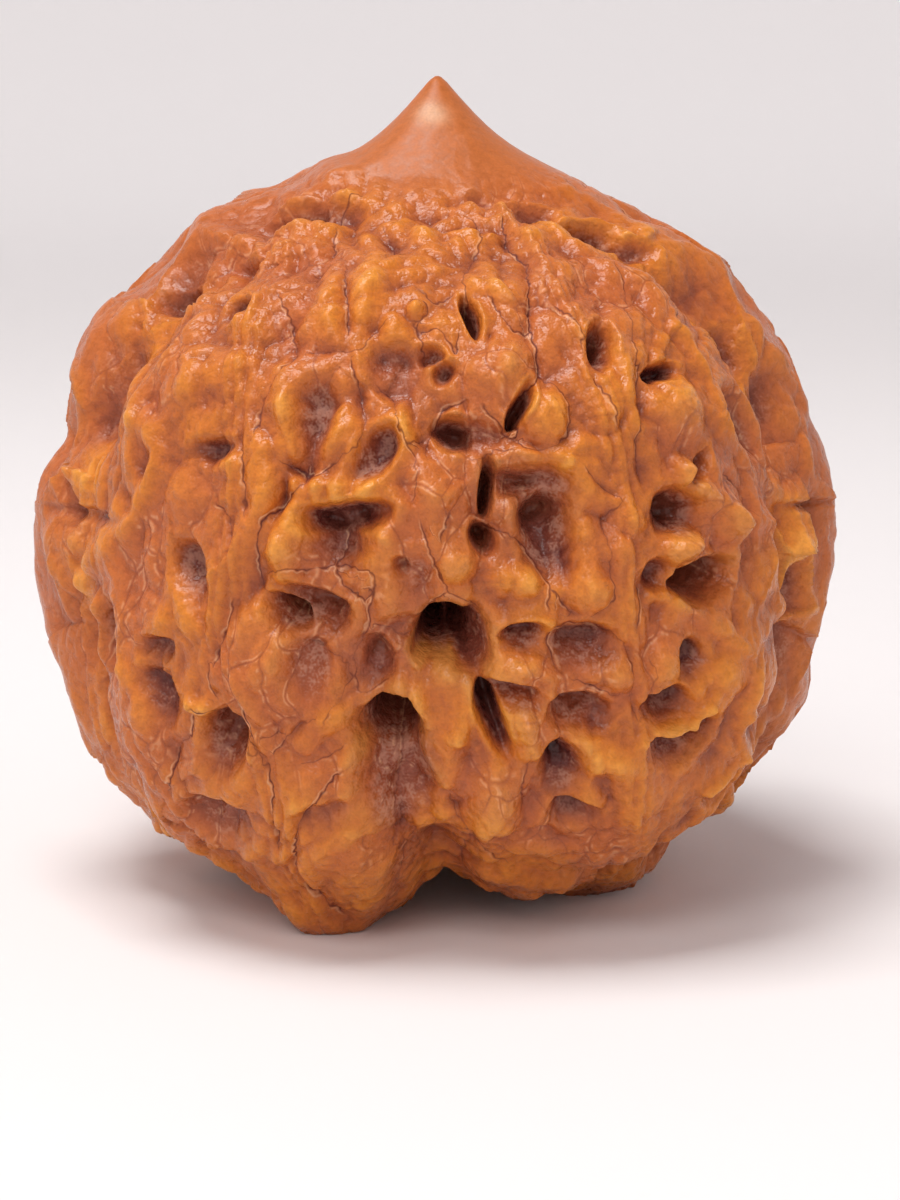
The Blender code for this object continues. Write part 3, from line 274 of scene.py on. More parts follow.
SEAMS = (
    Seam(0.30, ((1.5, 15.2), (2.1, 14.7), (2.0, 13.8), (1.7, 12.9), (1.3, 12.2), (1.6, 11.3))),
    Seam(0.40, ((3.2, 14.8), (3.7, 13.8), (4.5, 13.0), (4.8, 12.2), (4.9, 11.0), (4.95, 10.0), (5.2, 9.0),
                (5.5, 8.0), (5.5, 7.0)), 1.0),
    Seam(0.35, ((5.5, 7.0), (4.5, 6.3), (4.1, 5.3), (4.2, 4.3), (4.0, 3.9)), 1.0),
    Seam(0.35, ((5.5, 7.0), (6.4, 6.2), (6.8, 5.1), (6.6, 4.1), (5.6, 3.6), (4.5, 3.5), (3.8, 4.0))),
    Seam(0.25, ((2.9, 5.4), (3.3, 4.9), (3.7, 4.2))),
    Seam(0.30, ((1.4, 5.8), (0.6, 5.5), (0.1, 4.7), (-0.4, 3.9), (-0.5, 3.1))),
    Seam(0.30, ((1.9, 2.6), (2.3, 2.1), (2.6, 0.6), (2.4, 0.0))),
    Seam(0.30, ((1.9, 2.6), (2.7, 3.1), (3.4, 3.3))),
    Seam(0.30, ((-4.6, 8.0), (-4.3, 7.0), (-4.2, 5.8), (-4.0, 4.9), (-4.2, 3.8), (-5.0, 3.1), (-5.8, 2.5),
                (-6.4, 2.1), (-7.2, 2.1))),
    Seam(0.30, ((-3.2, 6.7), (-2.5, 6.1), (-2.3, 5.3), (-2.0, 4.3), (-1.5, 3.6), (-0.8, 3.8))),
    Seam(0.25, ((-1.5, 3.6), (-1.2, 2.7), (-1.1, 1.5), (-1.2, 0.8))),
    Seam(0.40, ((-8.0, 2.5), (-7.2, 2.1), (-7.1, 1.6), (-7.8, 0.9), (-8.6, 0.0), (-9.2, -0.6), (-9.3, -2.0),
                (-9.3, -3.5)), 1.0),
    Seam(0.40, ((-9.3, -3.5), (-9.0, -4.2), (-8.4, -4.9), (-7.6, -5.6)), 1.0),
    Seam(0.30, ((-8.5, -3.4), (-7.0, -3.1), (-5.4, -2.8), (-4.4, -3.1), (-3.7, -3.3), (-3.5, -4.0),
                (-3.6, -5.0), (-3.7, -6.0), (-4.2, -7.0), (-4.7, -7.8), (-4.7, -9.0), (-4.3, -9.8),
                (-3.8, -9.9), (-3.0, -9.5))),
    Seam(0.22, ((-5.0, -1.2), (-5.1, -2.2), (-5.4, -2.8))),
    Seam(0.22, ((-5.4, -2.8), (-5.0, -3.9), (-4.1, -4.6))),
    Seam(0.35, ((-0.6, -1.2), (-0.3, -2.2), (0.1, -3.1), (0.4, -4.1), (-0.2, -4.9), (-0.5, -5.4))),
    Seam(0.25, ((0.4, -4.2), (1.2, -4.6), (2.1, -5.3))),
    Seam(0.30, ((-3.2, -6.1), (-2.4, -6.4), (-1.9, -6.8), (-1.2, -6.5), (-0.5, -5.9))),
    Seam(0.25, ((1.4, 1.0), (0.8, -0.2), (0.4, -1.2))),
    Seam(0.30, ((2.9, -0.6), (4.0, -1.2), (4.9, -2.2), (5.4, -3.1), (5.9, -4.0), (6.3, -4.5), (7.1, -5.5))),
    Seam(0.25, ((5.8, -3.8), (5.9, -4.9))),
    Seam(0.40, ((9.3, 0.0), (8.8, -0.8), (9.0, -1.8), (9.0, -3.0), (9.1, -4.0), (8.9, -4.8), (8.2, -5.4))),
    Seam(0.30, ((8.0, 2.1), (8.5, 1.6), (9.0, 1.2), (9.4, 0.8))),
    Seam(0.35, ((10.4, 7.5), (10.4, 6.5), (10.7, 5.2), (10.5, 4.0), (10.4, 3.0), (10.6, 2.1))),
    Seam(0.35, ((9.8, 10.5), (10.1, 9.0), (10.2, 7.5))),
    Seam(0.25, ((10.3, -5.9), (10.6, -5.0), (10.5, -4.0))),
    Seam(0.30, ((6.2, -7.8), (6.1, -7.0), (6.6, -6.3), (7.4, -6.1), (8.4, -6.3), (9.3, -6.8), (9.8, -7.5),
                (9.9, -8.6), (10.0, -9.7), (10.3, -10.6))),
    Seam(0.25, ((10.9, -8.2), (10.9, -9.3), (10.8, -10.3))),
    Seam(0.25, ((7.3, -8.9), (8.2, -9.4), (9.3, -9.8))),
    Seam(0.30, ((4.7, -12.7), (4.6, -13.6), (4.4, -14.6), (4.5, -15.4))),
    Seam(0.40, ((-10.3, 4.0), (-10.0, 3.0), (-10.0, 1.5), (-10.0, 0.3))),
    Seam(0.30, ((-11.3, 0.3), (-10.8, -0.2), (-10.7, -1.2))),
    Seam(0.40, ((-10.7, -5.0), (-10.8, -5.8), (-11.2, -6.7), (-11.6, -7.7))),
    Seam(0.40, ((-10.2, -10.0), (-9.9, -11.0), (-9.5, -12.3), (-9.0, -13.1), (-8.6, -14.0), (-8.4, -15.0),
                (-8.4, -16.0), (-8.2, -17.2)), 1.0),
    Seam(0.35, ((-12.5, -10.4), (-11.6, -10.7), (-10.7, -11.2), (-10.0, -12.0), (-9.3, -13.0)), 1.0),
    Seam(0.35, ((-6.7, -11.0), (-7.4, -11.4), (-8.0, -12.0), (-8.5, -12.5))),
    Seam(0.25, ((-9.0, -11.8), (-8.2, -11.8))),
    Seam(0.30, ((-6.0, -11.0), (-5.8, -10.2), (-5.2, -9.7), (-5.1, -8.5), (-5.2, -8.0), (-5.9, -7.6))),
    Seam(0.30, ((-6.8, -13.1), (-5.8, -12.9), (-5.3, -12.6))),
    Seam(0.40, ((-5.3, -13.7), (-6.0, -14.5), (-6.6, -15.5), (-7.0, -16.6), (-7.1, -18.0), (-6.9, -19.2),
                (-6.3, -20.0), (-5.2, -21.2)), 1.0),
    Seam(0.25, ((-2.2, -17.2), (-1.8, -17.8), (-2.0, -18.5), (-2.3, -19.5))),
    Seam(0.30, ((-2.2, -13.0), (-2.2, -14.0), (-2.4, -15.5), (-2.0, -16.8), (-1.6, -17.6)), 0.5),
    Seam(0.35, ((0.6, -15.0), (1.3, -16.2), (1.9, -17.0), (1.7, -17.8), (1.3, -18.5))),
    Seam(0.30, ((1.9, -17.0), (2.4, -17.7), (3.6, -18.0))),
    Seam(0.35, ((-7.4, 8.3), (-7.7, 7.8), (-8.4, 6.7), (-8.8, 6.0), (-9.2, 5.4), (-9.4, 4.5))),
    Seam(0.30, ((-8.2, 11.2), (-7.8, 10.5), (-7.6, 9.5), (-7.4, 8.5))),
    Seam(0.35, ((-4.8, 12.8), (-4.8, 11.5), (-4.7, 10.5), (-4.8, 9.6))),
    Seam(0.25, ((-6.5, 8.5), (-5.5, 8.6), (-4.4, 8.5), (-3.8, 8.7), (-3.2, 9.6), (-2.6, 10.0))),
    Seam(0.25, ((-1.3, 9.9), (-1.0, 9.3), (-0.9, 8.2))),
    Seam(0.25, ((-0.9, 9.6), (0.0, 9.5), (0.8, 8.5))),
    Seam(0.25, ((-1.1, 11.6), (-0.4, 10.9), (0.5, 11.3))),
    Seam(0.25, ((-1.2, 11.0), (-1.65, 10.75), (-1.65, 10.25), (-1.2, 10.0), (-0.75, 10.25), (-0.75, 10.75),
                (-1.2, 11.0))),
    Seam(0.30, ((-6.4, 12.8), (-5.8, 13.0), (-5.6, 13.8), (-5.2, 14.6))),
    Seam(0.25, ((-5.5, 15.2), (-5.0, 15.8), (-4.2, 16.3))),
    Seam(0.25, ((-2.6, 14.9), (-2.4, 14.0), (-2.6, 13.2))),
    Seam(0.25, ((3.0, 11.0), (3.5, 10.1), (4.2, 9.4), (4.9, 9.2))),
    Seam(0.25, ((6.4, 10.2), (7.3, 9.3), (7.5, 8.3))),
    Seam(0.35, ((-13.2, -11.0), (-13.2, -12.0), (-13.9, -12.6), (-14.0, -12.8), (-14.1, -13.8),
                (-14.2, -14.6)), 1.0),
    Seam(0.25, ((-12.0, -8.0), (-12.0, -9.2), (-11.8, -9.6))),
    Seam(0.30, ((15.1, 1.9), (16.0, 0.8), (16.4, -0.1))),
    Seam(0.20, ((11.5, -0.9), (12.5, -1.0), (14.0, -0.9)), 0.3),
    Seam(0.25, ((0.9, 8.5), (1.0, 9.2))),
    Seam(0.25, ((8.2, 6.5), (8.8, 5.5), (9.1, 4.8))),
    Seam(0.25, ((9.1, 12.5), (9.6, 11.8), (9.9, 10.9))),
    Seam(0.25, ((12.2, 11.3), (12.4, 10.2))),
)


def smooth(low: float, high: float, value: np.ndarray) -> np.ndarray:
    """Rises smoothly between two values.

    Args:
        low: Where the rise starts from 0.
        high: Where it ends at 1.
        value: The numbers to read.

    Returns:
        A number from 0 to 1 for each value.
    """
    share = np.clip((value - low) / (high - low), 0.0, 1.0)
    return share * share * (3.0 - 2.0 * share)


def hills(points: np.ndarray, size: float, seed: int) -> np.ndarray:
    """Smooth noise.

    Args:
        points: Places, one a row.
        size: How far across a hill is.
        seed: Which noise it is.

    Returns:
        A height from -1 to 1 at each point.
    """
    table = np.random.default_rng(seed).uniform(-1.0, 1.0, 4096)
    corner = np.floor(points / size).astype(np.int64)
    part = points / size - corner
    part = part * part * (3.0 - 2.0 * part)
    total = np.zeros(len(points))
    for step in itertools.product((0, 1), repeat=3):
        at = (corner + step) * (73856093, 19349663, 83492791)
        weight = np.where(step, part, 1.0 - part).prod(axis=1)
        total += table[(at[:, 0] ^ at[:, 1] ^ at[:, 2]) & 4095] * weight
    return total


def bend(points: np.ndarray, size: float, seeds: tuple[int, int, int]) -> np.ndarray:
    """A smooth random shift for each point.

    Args:
        points: Places, one a row.
        size: How far across a hill of the noise is.
        seeds: A seed for each direction.

    Returns:
        A shift of up to 1 in each direction for each point.
    """
    return np.stack([hills(points, size, seed) for seed in seeds], axis=1)


def window(points: np.ndarray, places: np.ndarray, margin: float) -> np.ndarray:
    """Finds the points near some places.

    Args:
        points: Places to choose from.
        places: What they should be near.
        margin: How far outside the box round those places still counts.

    Returns:
        The indices of the points that are near.
    """
    low, high = places.min(axis=0) - margin, places.max(axis=0) + margin
    return np.flatnonzero(((points > low) & (points < high)).all(axis=1))


def off_line(points: np.ndarray, line: np.ndarray) -> tuple[np.ndarray, np.ndarray]:
    """Measures how far points lie from a line.

    Args:
        points: Places, one a row.
        line: The line's own points.

    Returns:
        The distance from each point to the line, and the same with a sign for the side it lies on.
    """
    nearest = np.full(len(points), np.inf)
    signed = np.zeros(len(points))
    for start, end in zip(line, line[1:]):
        run = end - start
        share = np.clip((points - start) @ run / (run @ run), 0.0, 1.0)
        gap = points - start - share[:, None] * run
        distance = np.linalg.norm(gap, axis=1)
        sideways = np.cross(run, start)
        sideways = sideways / np.linalg.norm(sideways)
        closer = distance < nearest
        nearest = np.where(closer, distance, nearest)
        signed = np.where(closer, gap @ sideways, signed)
    return nearest, signed


def rounded(line: np.ndarray, steps: int) -> np.ndarray:
    """Draws a smooth curve through a line's points.

    Args:
        line: The points that it passes through.
        steps: How many pieces each stretch is split into.

    Returns:
        The points of the curve.
    """
    padded = np.concatenate((2 * line[:1] - line[1:2], line, 2 * line[-1:] - line[-2:-1]))
    drawn = []
    for before, start, end, after in zip(padded, padded[1:], padded[2:], padded[3:]):
        for share in np.arange(steps) / steps:
            bent = 2 * start + (end - before) * share
            bent = bent + (2 * before - 5 * start + 4 * end - after) * share**2
            drawn.append((bent + (3 * start - before - 3 * end + after) * share**3) / 2)
    return np.array(drawn + [line[-1]])


@dataclass(frozen=True)
class Eye:
    """The eye that the front is drawn for, in front of the nut and a little above it."""

    distance: float = 165.0
    elevation: float = 9.0
    least_foreshortening: float = 0.55
    search_length: float = 40.0
    search_steps: int = 30

    def axes(self) -> tuple[np.ndarray, np.ndarray, np.ndarray]:
        """The unit vectors from the nut's middle to the eye, to its right and upward in its view."""
        tilt = math.radians(self.elevation)
        to_eye = np.array((0.0, -math.cos(tilt), math.sin(tilt)))
        return to_eye, np.array((1.0, 0.0, 0.0)), np.array((0.0, math.sin(tilt), math.cos(tilt)))

    def on_body(self, body: "PlainBody", places: list[tuple[float, float]]) -> np.ndarray:
        """Finds what the eye sees of the plain body.

        Args:
            body: The body it looks at.
            places: Where it looks, as across and up in the plane through the nut's middle.

        Returns:
            The point of the body at each place.
        """
        to_eye, right, upward = self.axes()
        across, up = np.array(places, dtype=float).T
        eye = to_eye * self.distance
        ray = across[:, None] * right + up[:, None] * upward - eye
        ray /= np.linalg.norm(ray, axis=1)[:, None]
        far = -(ray @ eye)
        near = far - self.search_length
        for _ in range(self.search_steps):
            middle = (near + far) / 2.0
            points = eye + ray * middle[:, None]
            reach = np.linalg.norm(points, axis=1)
            outside = reach > body.radius(points / reach[:, None])
            near, far = np.where(outside, middle, near), np.where(outside, far, middle)
        return points


@dataclass(frozen=True)
class PlainBody:
    """The nut without its relief: round belly, seam wings, pointed tip and a base of four feet."""

    belly_half_width: float = 18.3
    belly_half_depth: float = 18.9
    belly_rise: float = 16.4
    belly_drop: float = 18.8
    belly_roundness_above: float = 2.3
    belly_roundness_below: float = 2.9
    wing_height: float = 2.7
    wing_height_above: float = 1.3
    wing_half_thickness: float = 4.6
    furrow_at: float = 7.0
    furrow_half_width: float = 1.5
    furrow_depth: float = 1.1
    tip_height: float = 4.9
    tip_spread: float = 9.4
    tip_bluntness: float = 1.0
    middle_height: float = 19.7
    edge_waves: tuple = ((168.0, 6.0, -0.8), (152.0, 7.0, 0.8), (128.0, 9.0, 0.6), (57.0, 7.0, -0.2),
                         (108.0, 4.0, 0.4), (202.0, 7.0, -0.4), (344.0, 8.0, -0.9), (318.0, 8.0, 0.1),
                         (188.0, 4.0, 0.0), (5.0, 7.0, -0.1))
    feet: tuple = ((-5.0, -8.6, 3.2, 3.1), (7.6, -2.2, 2.8, 2.8), (6.8, 6.8, 3.6, 2.1), (-6.4, 6.6, 3.6, 2.2))
    notches: tuple = ((-0.3, -20.0, 0.3, -4.0, 2.0, 1.7), (4.5, -13.0, 12.0, -9.5, 2.6, 1.2),
                      (0.5, 4.0, 0.5, 16.0, 1.6, 1.2))
    scar_half_width: float = 3.2
    scar_depth: float = 2.0

    def radius(self, way: np.ndarray) -> np.ndarray:
        """Measures the body.

        Args:
            way: Unit vectors from its middle.

        Returns:
            How far it reaches along each.
        """
        x, y, z = way.T
        half_height = np.where(z > 0, self.belly_rise, self.belly_drop)
        flatter = self.belly_roundness_below - self.belly_roundness_above
        power = self.belly_roundness_above + flatter * smooth(0.1, -0.6, z)
        sizes = (self.belly_half_width, self.belly_half_depth, half_height)
        belly = sum((abs(part) / size) ** power for part, size in zip((x, y, z), sizes)) ** (-1.0 / power)

        off_seam = abs(y) * belly
        wing_height = self.wing_height_above
        wing_height = wing_height + (self.wing_height - self.wing_height_above) * smooth(0.45, 0.05, z)
        wing_height = wing_height * (0.12 + 0.88 * smooth(-0.85, -0.25, z))
        round_edge = np.degrees(np.arctan2(z, x)) % 360.0
        for at, half_width, height in self.edge_waves:
            wing_height = wing_height + height * np.exp(-(((round_edge - at) / half_width) ** 2))
        wing = wing_height * np.exp(-((off_seam / self.wing_half_thickness) ** 3))
        furrow = np.exp(-(((off_seam - self.furrow_at) / self.furrow_half_width) ** 2))
        furrow = furrow * self.furrow_depth * smooth(0.96, 0.6, z) * smooth(-0.9, -0.5, z)

        from_tip = np.degrees(np.arccos(np.clip(z, -1.0, 1.0)))
        blunt = np.hypot(from_tip, self.tip_bluntness) - self.tip_bluntness
        radius = belly + wing - furrow + self.tip_height * np.exp(-blunt / self.tip_spread)

        foot_x, foot_y = x * radius, y * radius
        under = smooth(-0.45, -0.75, z)
        for at_x, at_y, half_width, swell in self.feet:
            off = np.hypot(foot_x - at_x, foot_y - at_y)
            radius = radius + under * swell * np.exp(-((off / half_width) ** 2))
        for x_from, y_from, x_to, y_to, half_width, depth in self.notches:
            share = np.clip((foot_y - y_from) / (y_to - y_from), 0.0, 1.0)
            off_x = foot_x - x_from - share * (x_to - x_from)
            off_y = foot_y - y_from - share * (y_to - y_from)
            off = np.hypot(off_x, off_y)
            radius = radius - under * depth * np.exp(-((off / half_width) ** 2))
        scar = np.exp(-((np.hypot(foot_x, foot_y) / self.scar_half_width) ** 2))
        return radius - self.scar_depth * under * scar


@dataclass(frozen=True)
class CarvedFront:
    """The front, carved where the eye sees each hollow, rib and seam."""

    eye: Eye
    body: PlainBody
    wander: float = 0.3
    wander_size: float = 2.6
    wander_seeds: tuple[int, int, int] = (5, 6, 7)
    reach: float = 3.2
    farthest: float = 5.5
    stretch_below: float = 1.25
    stretch_less_above: float = 0.5
    steepness_below: float = 1.3
    steepness_more_above: float = 1.1
    skirt_share: float = 0.30
    skirt_reach: float = 1.9
    lip_share: float = 0.16
    lip_at: float = 1.5
    lip_half_width: float = 0.35
    full_lip_depth: float = 1.5
    seam_pillow: float = 0.5
    seam_reach: float = 2.4
    off_all_seams: float = 9.0
    crack_half_width: float = 0.14
    crack_depth: float = 0.10
    # The depth from which a hollow gets its full weight of darker colour, partly stain and partly painted
    # shade.
    full_stain_and_shade_depth: float = 1.5
    strand_spacing: float = 0.62
    strand_depth: float = 0.13

    def bowl(self, points: np.ndarray, place: np.ndarray, hollow: Hollow) -> tuple[np.ndarray, np.ndarray]:
        """Sinks one hollow, its upper wall steeper than its floor.

        Args:
            points: The body's points.
            place: The hollow's middle on the body.
            hollow: Its sizes.

        Returns:
            The indices of the points near it, and how deep it is at each.
        """
        to_eye, right, upward = self.eye.axes()
        out = place / np.linalg.norm(place)
        rising = upward - (upward @ out) * out
        rising /= np.linalg.norm(rising)
        sideways = np.cross(rising, out)
        turn = math.radians(hollow.lean)
        along = sideways * math.cos(turn) + rising * math.sin(turn)
        upright = rising * math.cos(turn) - sideways * math.sin(turn)
        larger = self.eye.distance / (self.eye.distance - place @ to_eye)
        half = []
        for size, axis in ((hollow.half_width, along), (hollow.half_height, upright)):
            seen = max(math.hypot(axis @ right, axis @ upward), self.eye.least_foreshortening)
            half.append(size / seen / larger)
        near = window(points, place[None], self.reach * max(half))
        offset = points[near] - place
        side, rise = offset @ along / half[0], offset @ upright / half[1]
        above = smooth(-0.6, 0.6, rise) if hollow.wall is Wall.GENTLE_BELOW else 0.5
        rise = rise / (self.stretch_below - self.stretch_less_above * above)
        off = np.minimum(np.hypot(side, rise), self.farthest)
        skirt = self.skirt_share * np.exp(-((off / self.skirt_reach) ** 2))
        lip = self.lip_share * np.exp(-(((off - self.lip_at) / self.lip_half_width) ** 2))
        lip *= min(1.0, self.full_lip_depth / abs(hollow.depth))
        steepness = hollow.rim * (self.steepness_below + self.steepness_more_above * above)
        return near, hollow.depth * (np.exp(-(off**steepness)) + skirt - lip)

    def seams(self, points: np.ndarray) -> tuple[np.ndarray, np.ndarray, np.ndarray]:
        """Draws the seams.

        Args:
            points: The body's points.

        Returns:
            How far each point is to one side or the other of its nearest seam, how close it is to it from
            0 to 1 with less for a faint one, and how deep its groove is there.
        """
        bent = points + self.wander * bend(points, self.wander_size, self.wander_seeds)
        signed = np.full(len(points), self.off_all_seams)
        nearest = np.full(len(points), self.off_all_seams)
        dark = np.zeros(len(points))
        groove = np.zeros(len(points))
        for seam in SEAMS:
            line = rounded(self.eye.on_body(self.body, seam.line), 4)
            near = window(bent, line, self.seam_reach)
            off, beside = off_line(bent[near], line)
            groove[near] = np.maximum(groove[near], seam.depth * np.exp(-off / self.seam_pillow))
            closer = off < nearest[near]
            signed[near] = np.where(closer, beside, signed[near])
            dark[near] = np.where(closer, seam.dark, dark[near])
            nearest[near] = np.minimum(off, nearest[near])
        groove += self.crack_depth * dark * np.exp(-((nearest / self.crack_half_width) ** 2))
        return signed, dark * smooth(0.6, 0.2, nearest), groove

    def relief(self, points: np.ndarray) -> tuple[np.ndarray, np.ndarray]:
        """Carves the front, all but its seams.

        Args:
            points: The body's points.

        Returns:
            The height of the relief at each point, and how much stain and painted shade the hollow there
            gets, from 0 to 1.
        """
        bent = points + self.wander * bend(points, self.wander_size, self.wander_seeds)
        height = np.zeros(len(points))
        stain_and_painted_shade = np.zeros(len(points))
        hollows = (*HOLLOWS.values(), *MOUNDS.values())
        places = self.eye.on_body(self.body, [(hollow.across, hollow.up) for hollow in hollows])
        for hollow, place in zip(hollows, places):
            near, sunk = self.bowl(bent, place, hollow)
            height[near] -= sunk
            # A pit's weight of darker colour, most in its middle: partly stain, partly painted shade.
            if 0.0 < hollow.depth:
                kept = smooth(0.12, 1.1, sunk / hollow.depth) * min(1.0, hollow.depth / self.full_stain_and_shade_depth)
                stain_and_painted_shade[near] = np.maximum(stain_and_painted_shade[near], kept)
        ribs = np.zeros(len(points))
        strands = np.zeros(len(points))
        for rib in RIBS.values():
            line = self.eye.on_body(self.body, rib.line)
            near = window(bent, line, 3.0 * rib.half_width)
            off, beside = off_line(bent[near], rounded(line, 3))
            band = np.exp(-((off / rib.half_width) ** 2))
            ribs[near] = np.maximum(ribs[near], rib.height * band)
            if rib.strands:
                wave = np.cos(2.0 * math.pi * beside / self.strand_spacing)
                strands[near] = np.minimum(strands[near], -self.strand_depth * band * smooth(0.2, -1.0, wave))
        return height + ribs + strands, stain_and_painted_shade


@dataclass(frozen=True)
class RuledNet:
    """The net that a rule draws on the sides, the back and the base: ridges, seams, pits and pillows."""

    body: PlainBody
    seed: int = 41
    cells: int = 230
    stretch: float = 0.62
    wander: float = 1.1
    wander_size: float = 3.4
    wander_seeds: tuple[int, int, int] = (11, 12, 13)
    swing_size: float = 6.0
    ridge_height: float = 0.55
    ridge_half_width: float = 0.8
    seam_depth: float = 0.45
    seam_pillow: float = 0.5
    pit_share: float = 0.58
    pit_depth: tuple[float, float] = (0.6, 1.9)
    pit_size: tuple[float, float] = (0.30, 0.62)
    pit_skirt: float = 0.35
    skirt_reach: float = 1.8
    steepness: float = 1.8
    pillow_height: float = 0.3
    meridian_ribs: tuple = (14.0, 33.0, 57.0, 84.0, 108.0, 131.0, 152.0, 168.0)
    rib_height: float = 0.55
    rib_half_width: float = 1.0

    def spread(self) -> np.ndarray:
        """Points spread evenly and without a pattern over a ball of unit radius."""
        draw = np.random.default_rng(self.seed)
        chosen = [draw.normal(size=3)]
        while len(chosen) < self.cells:
            tries = draw.normal(size=(24, 3))
            tries /= np.linalg.norm(tries, axis=1)[:, None]
            gaps = np.linalg.norm(tries[:, None] - np.array(chosen)[None], axis=2).min(axis=1)
            chosen.append(tries[gaps.argmax()])
        chosen[0] = chosen[0] / np.linalg.norm(chosen[0])
        return np.array(chosen)

    @staticmethod
    def two_nearest(points: np.ndarray, cells: np.ndarray) -> tuple[np.ndarray, np.ndarray]:
        """Finds the two cells nearest each point.

        Args:
            points: Places, one a row.
            cells: The cells' middles.

        Returns:
            Their indices, nearest first, and how far away they are.
        """
        orders, gaps = [], []
        for some in np.array_split(points, 1 + len(points) // 20000):
            away = np.sqrt(np.maximum(
                (some**2).sum(axis=1)[:, None] + (cells**2).sum(axis=1) - 2.0 * some @ cells.T, 0.0))
            order = np.argpartition(away, 2, axis=1)[:, :2]
            near = np.take_along_axis(away, order, axis=1)
            turn = np.argsort(near, axis=1)
            orders.append(np.take_along_axis(order, turn, axis=1))
            gaps.append(np.take_along_axis(near, turn, axis=1))
        return np.concatenate(orders), np.concatenate(gaps)

    def relief(self, points: np.ndarray) -> tuple[np.ndarray, np.ndarray]:
        """Draws the net.

        Args:
            points: The body's points.

        Returns:
            The height of the relief at each point, and how much stain and painted shade the pit there gets,
            from 0 to 1.
        """
        squeeze = np.array((1.0, 1.0, self.stretch))
        here = (points + self.wander * bend(points, self.wander_size, self.wander_seeds)) * squeeze
        way = self.spread()
        cells = way * self.body.radius(way)[:, None] * squeeze
        order, near = self.two_nearest(here, cells)
        own = order[:, 0]
        to_border = (near[:, 1] ** 2 - near[:, 0] ** 2) / 2.0
        to_border /= np.linalg.norm(cells[own] - cells[order[:, 1]], axis=1)

        draw = np.random.default_rng(self.seed + 1)
        is_pit = draw.random(self.cells) < self.pit_share
        depth = np.where(is_pit, draw.uniform(*self.pit_depth, self.cells), -self.pillow_height)
        size = draw.uniform(*self.pit_size, self.cells)
        spacing = self.two_nearest(cells, cells)[1].max(axis=1)
        reach = (size * spacing)[own]
        above = smooth(-0.6, 0.6, (here - cells[own])[:, 2] / reach)
        off = near[:, 0] / reach / (1.2 - 0.3 * above)
        skirt = self.pit_skirt * np.exp(-((off / self.skirt_reach) ** 2))
        sunk = depth[own] * (np.exp(-(off ** (self.steepness + self.steepness * above))) + skirt)
        swing = hills(points, self.swing_size, 14)
        ridge = self.ridge_height * smooth(-0.3, 0.25, swing)
        ridge = ridge * np.exp(-((to_border / self.ridge_half_width) ** 2))
        seam = self.seam_depth * smooth(0.15, -0.35, swing) * np.exp(-to_border / self.seam_pillow)

        azimuth = np.degrees(np.arctan2(points[:, 1], points[:, 0])) + 7.0 * hills(points, 7.0, 15)
        from_axis = np.hypot(points[:, 0], points[:, 1])
        ribs = np.zeros(len(points))
        for at in self.meridian_ribs:
            off = np.radians(azimuth - at) * from_axis
            ribs = np.maximum(ribs, np.exp(-((off / self.rib_half_width) ** 2)))
        ribs *= smooth(3.0, 8.0, from_axis)
        # The pits' weight of darker colour, less on the ribs: partly stain, partly painted shade.
        stain_and_painted_shade = smooth(0.15, 1.9, sunk) * (1.0 - ribs)
        return ridge - seam + self.rib_height * ribs - sunk * (1.0 - 0.5 * ribs), stain_and_painted_shade


class Wire:
    """A socket of a node tree that takes part in Python sums."""

    def __init__(self, bench: "Bench", socket: bpy.types.NodeSocket) -> None:
        """Keeps the socket and the bench that it is on."""
        self.bench = bench
        self.socket = socket

    def __add__(self, other: Any) -> "Wire":
        """Adds a value or a wire."""
        return self.bench.maths("ADD", self, other)

    def __radd__(self, other: Any) -> "Wire":
        """Adds this to a value."""
        return self.bench.maths("ADD", other, self)

    def __sub__(self, other: Any) -> "Wire":
        """Takes away a value or a wire."""
        return self.bench.maths("SUBTRACT", self, other)

    def __rsub__(self, other: Any) -> "Wire":
        """Takes this from a value."""
        return self.bench.maths("SUBTRACT", other, self)

    def __mul__(self, other: Any) -> "Wire":
        """Multiplies by a value or a wire."""
        return self.bench.maths("MULTIPLY", self, other)

    def __rmul__(self, other: Any) -> "Wire":
        """Multiplies a value by this."""
        return self.bench.maths("MULTIPLY", other, self)

    def __truediv__(self, other: Any) -> "Wire":
        """Divides by a value or a wire."""
        return self.bench.maths("DIVIDE", self, other)

    def __rpow__(self, other: Any) -> "Wire":
        """Raises a value to this power."""
        return self.bench.maths("POWER", other, self)

    def __neg__(self) -> "Wire":
        """Turns the sign."""
        return self.bench.maths("MULTIPLY", self, -1.0)

    def __abs__(self) -> "Wire":
        """Drops the sign."""
        return self.bench.maths("ABSOLUTE", self)

    def between(self, low: float, high: float) -> "Wire":
        """A smooth rise from 0 at low to 1 at high."""
        return self.bench.node("ShaderNodeMapRange", {"interpolation_type": "SMOOTHSTEP"},
                               {"Value": self, "From Min": low, "From Max": high})

    def bump(self, width: Any) -> "Wire":
        """A hill of height 1 where this is 0, that falls off over a width."""
        share = self / width
        return math.e ** (-(share * share))


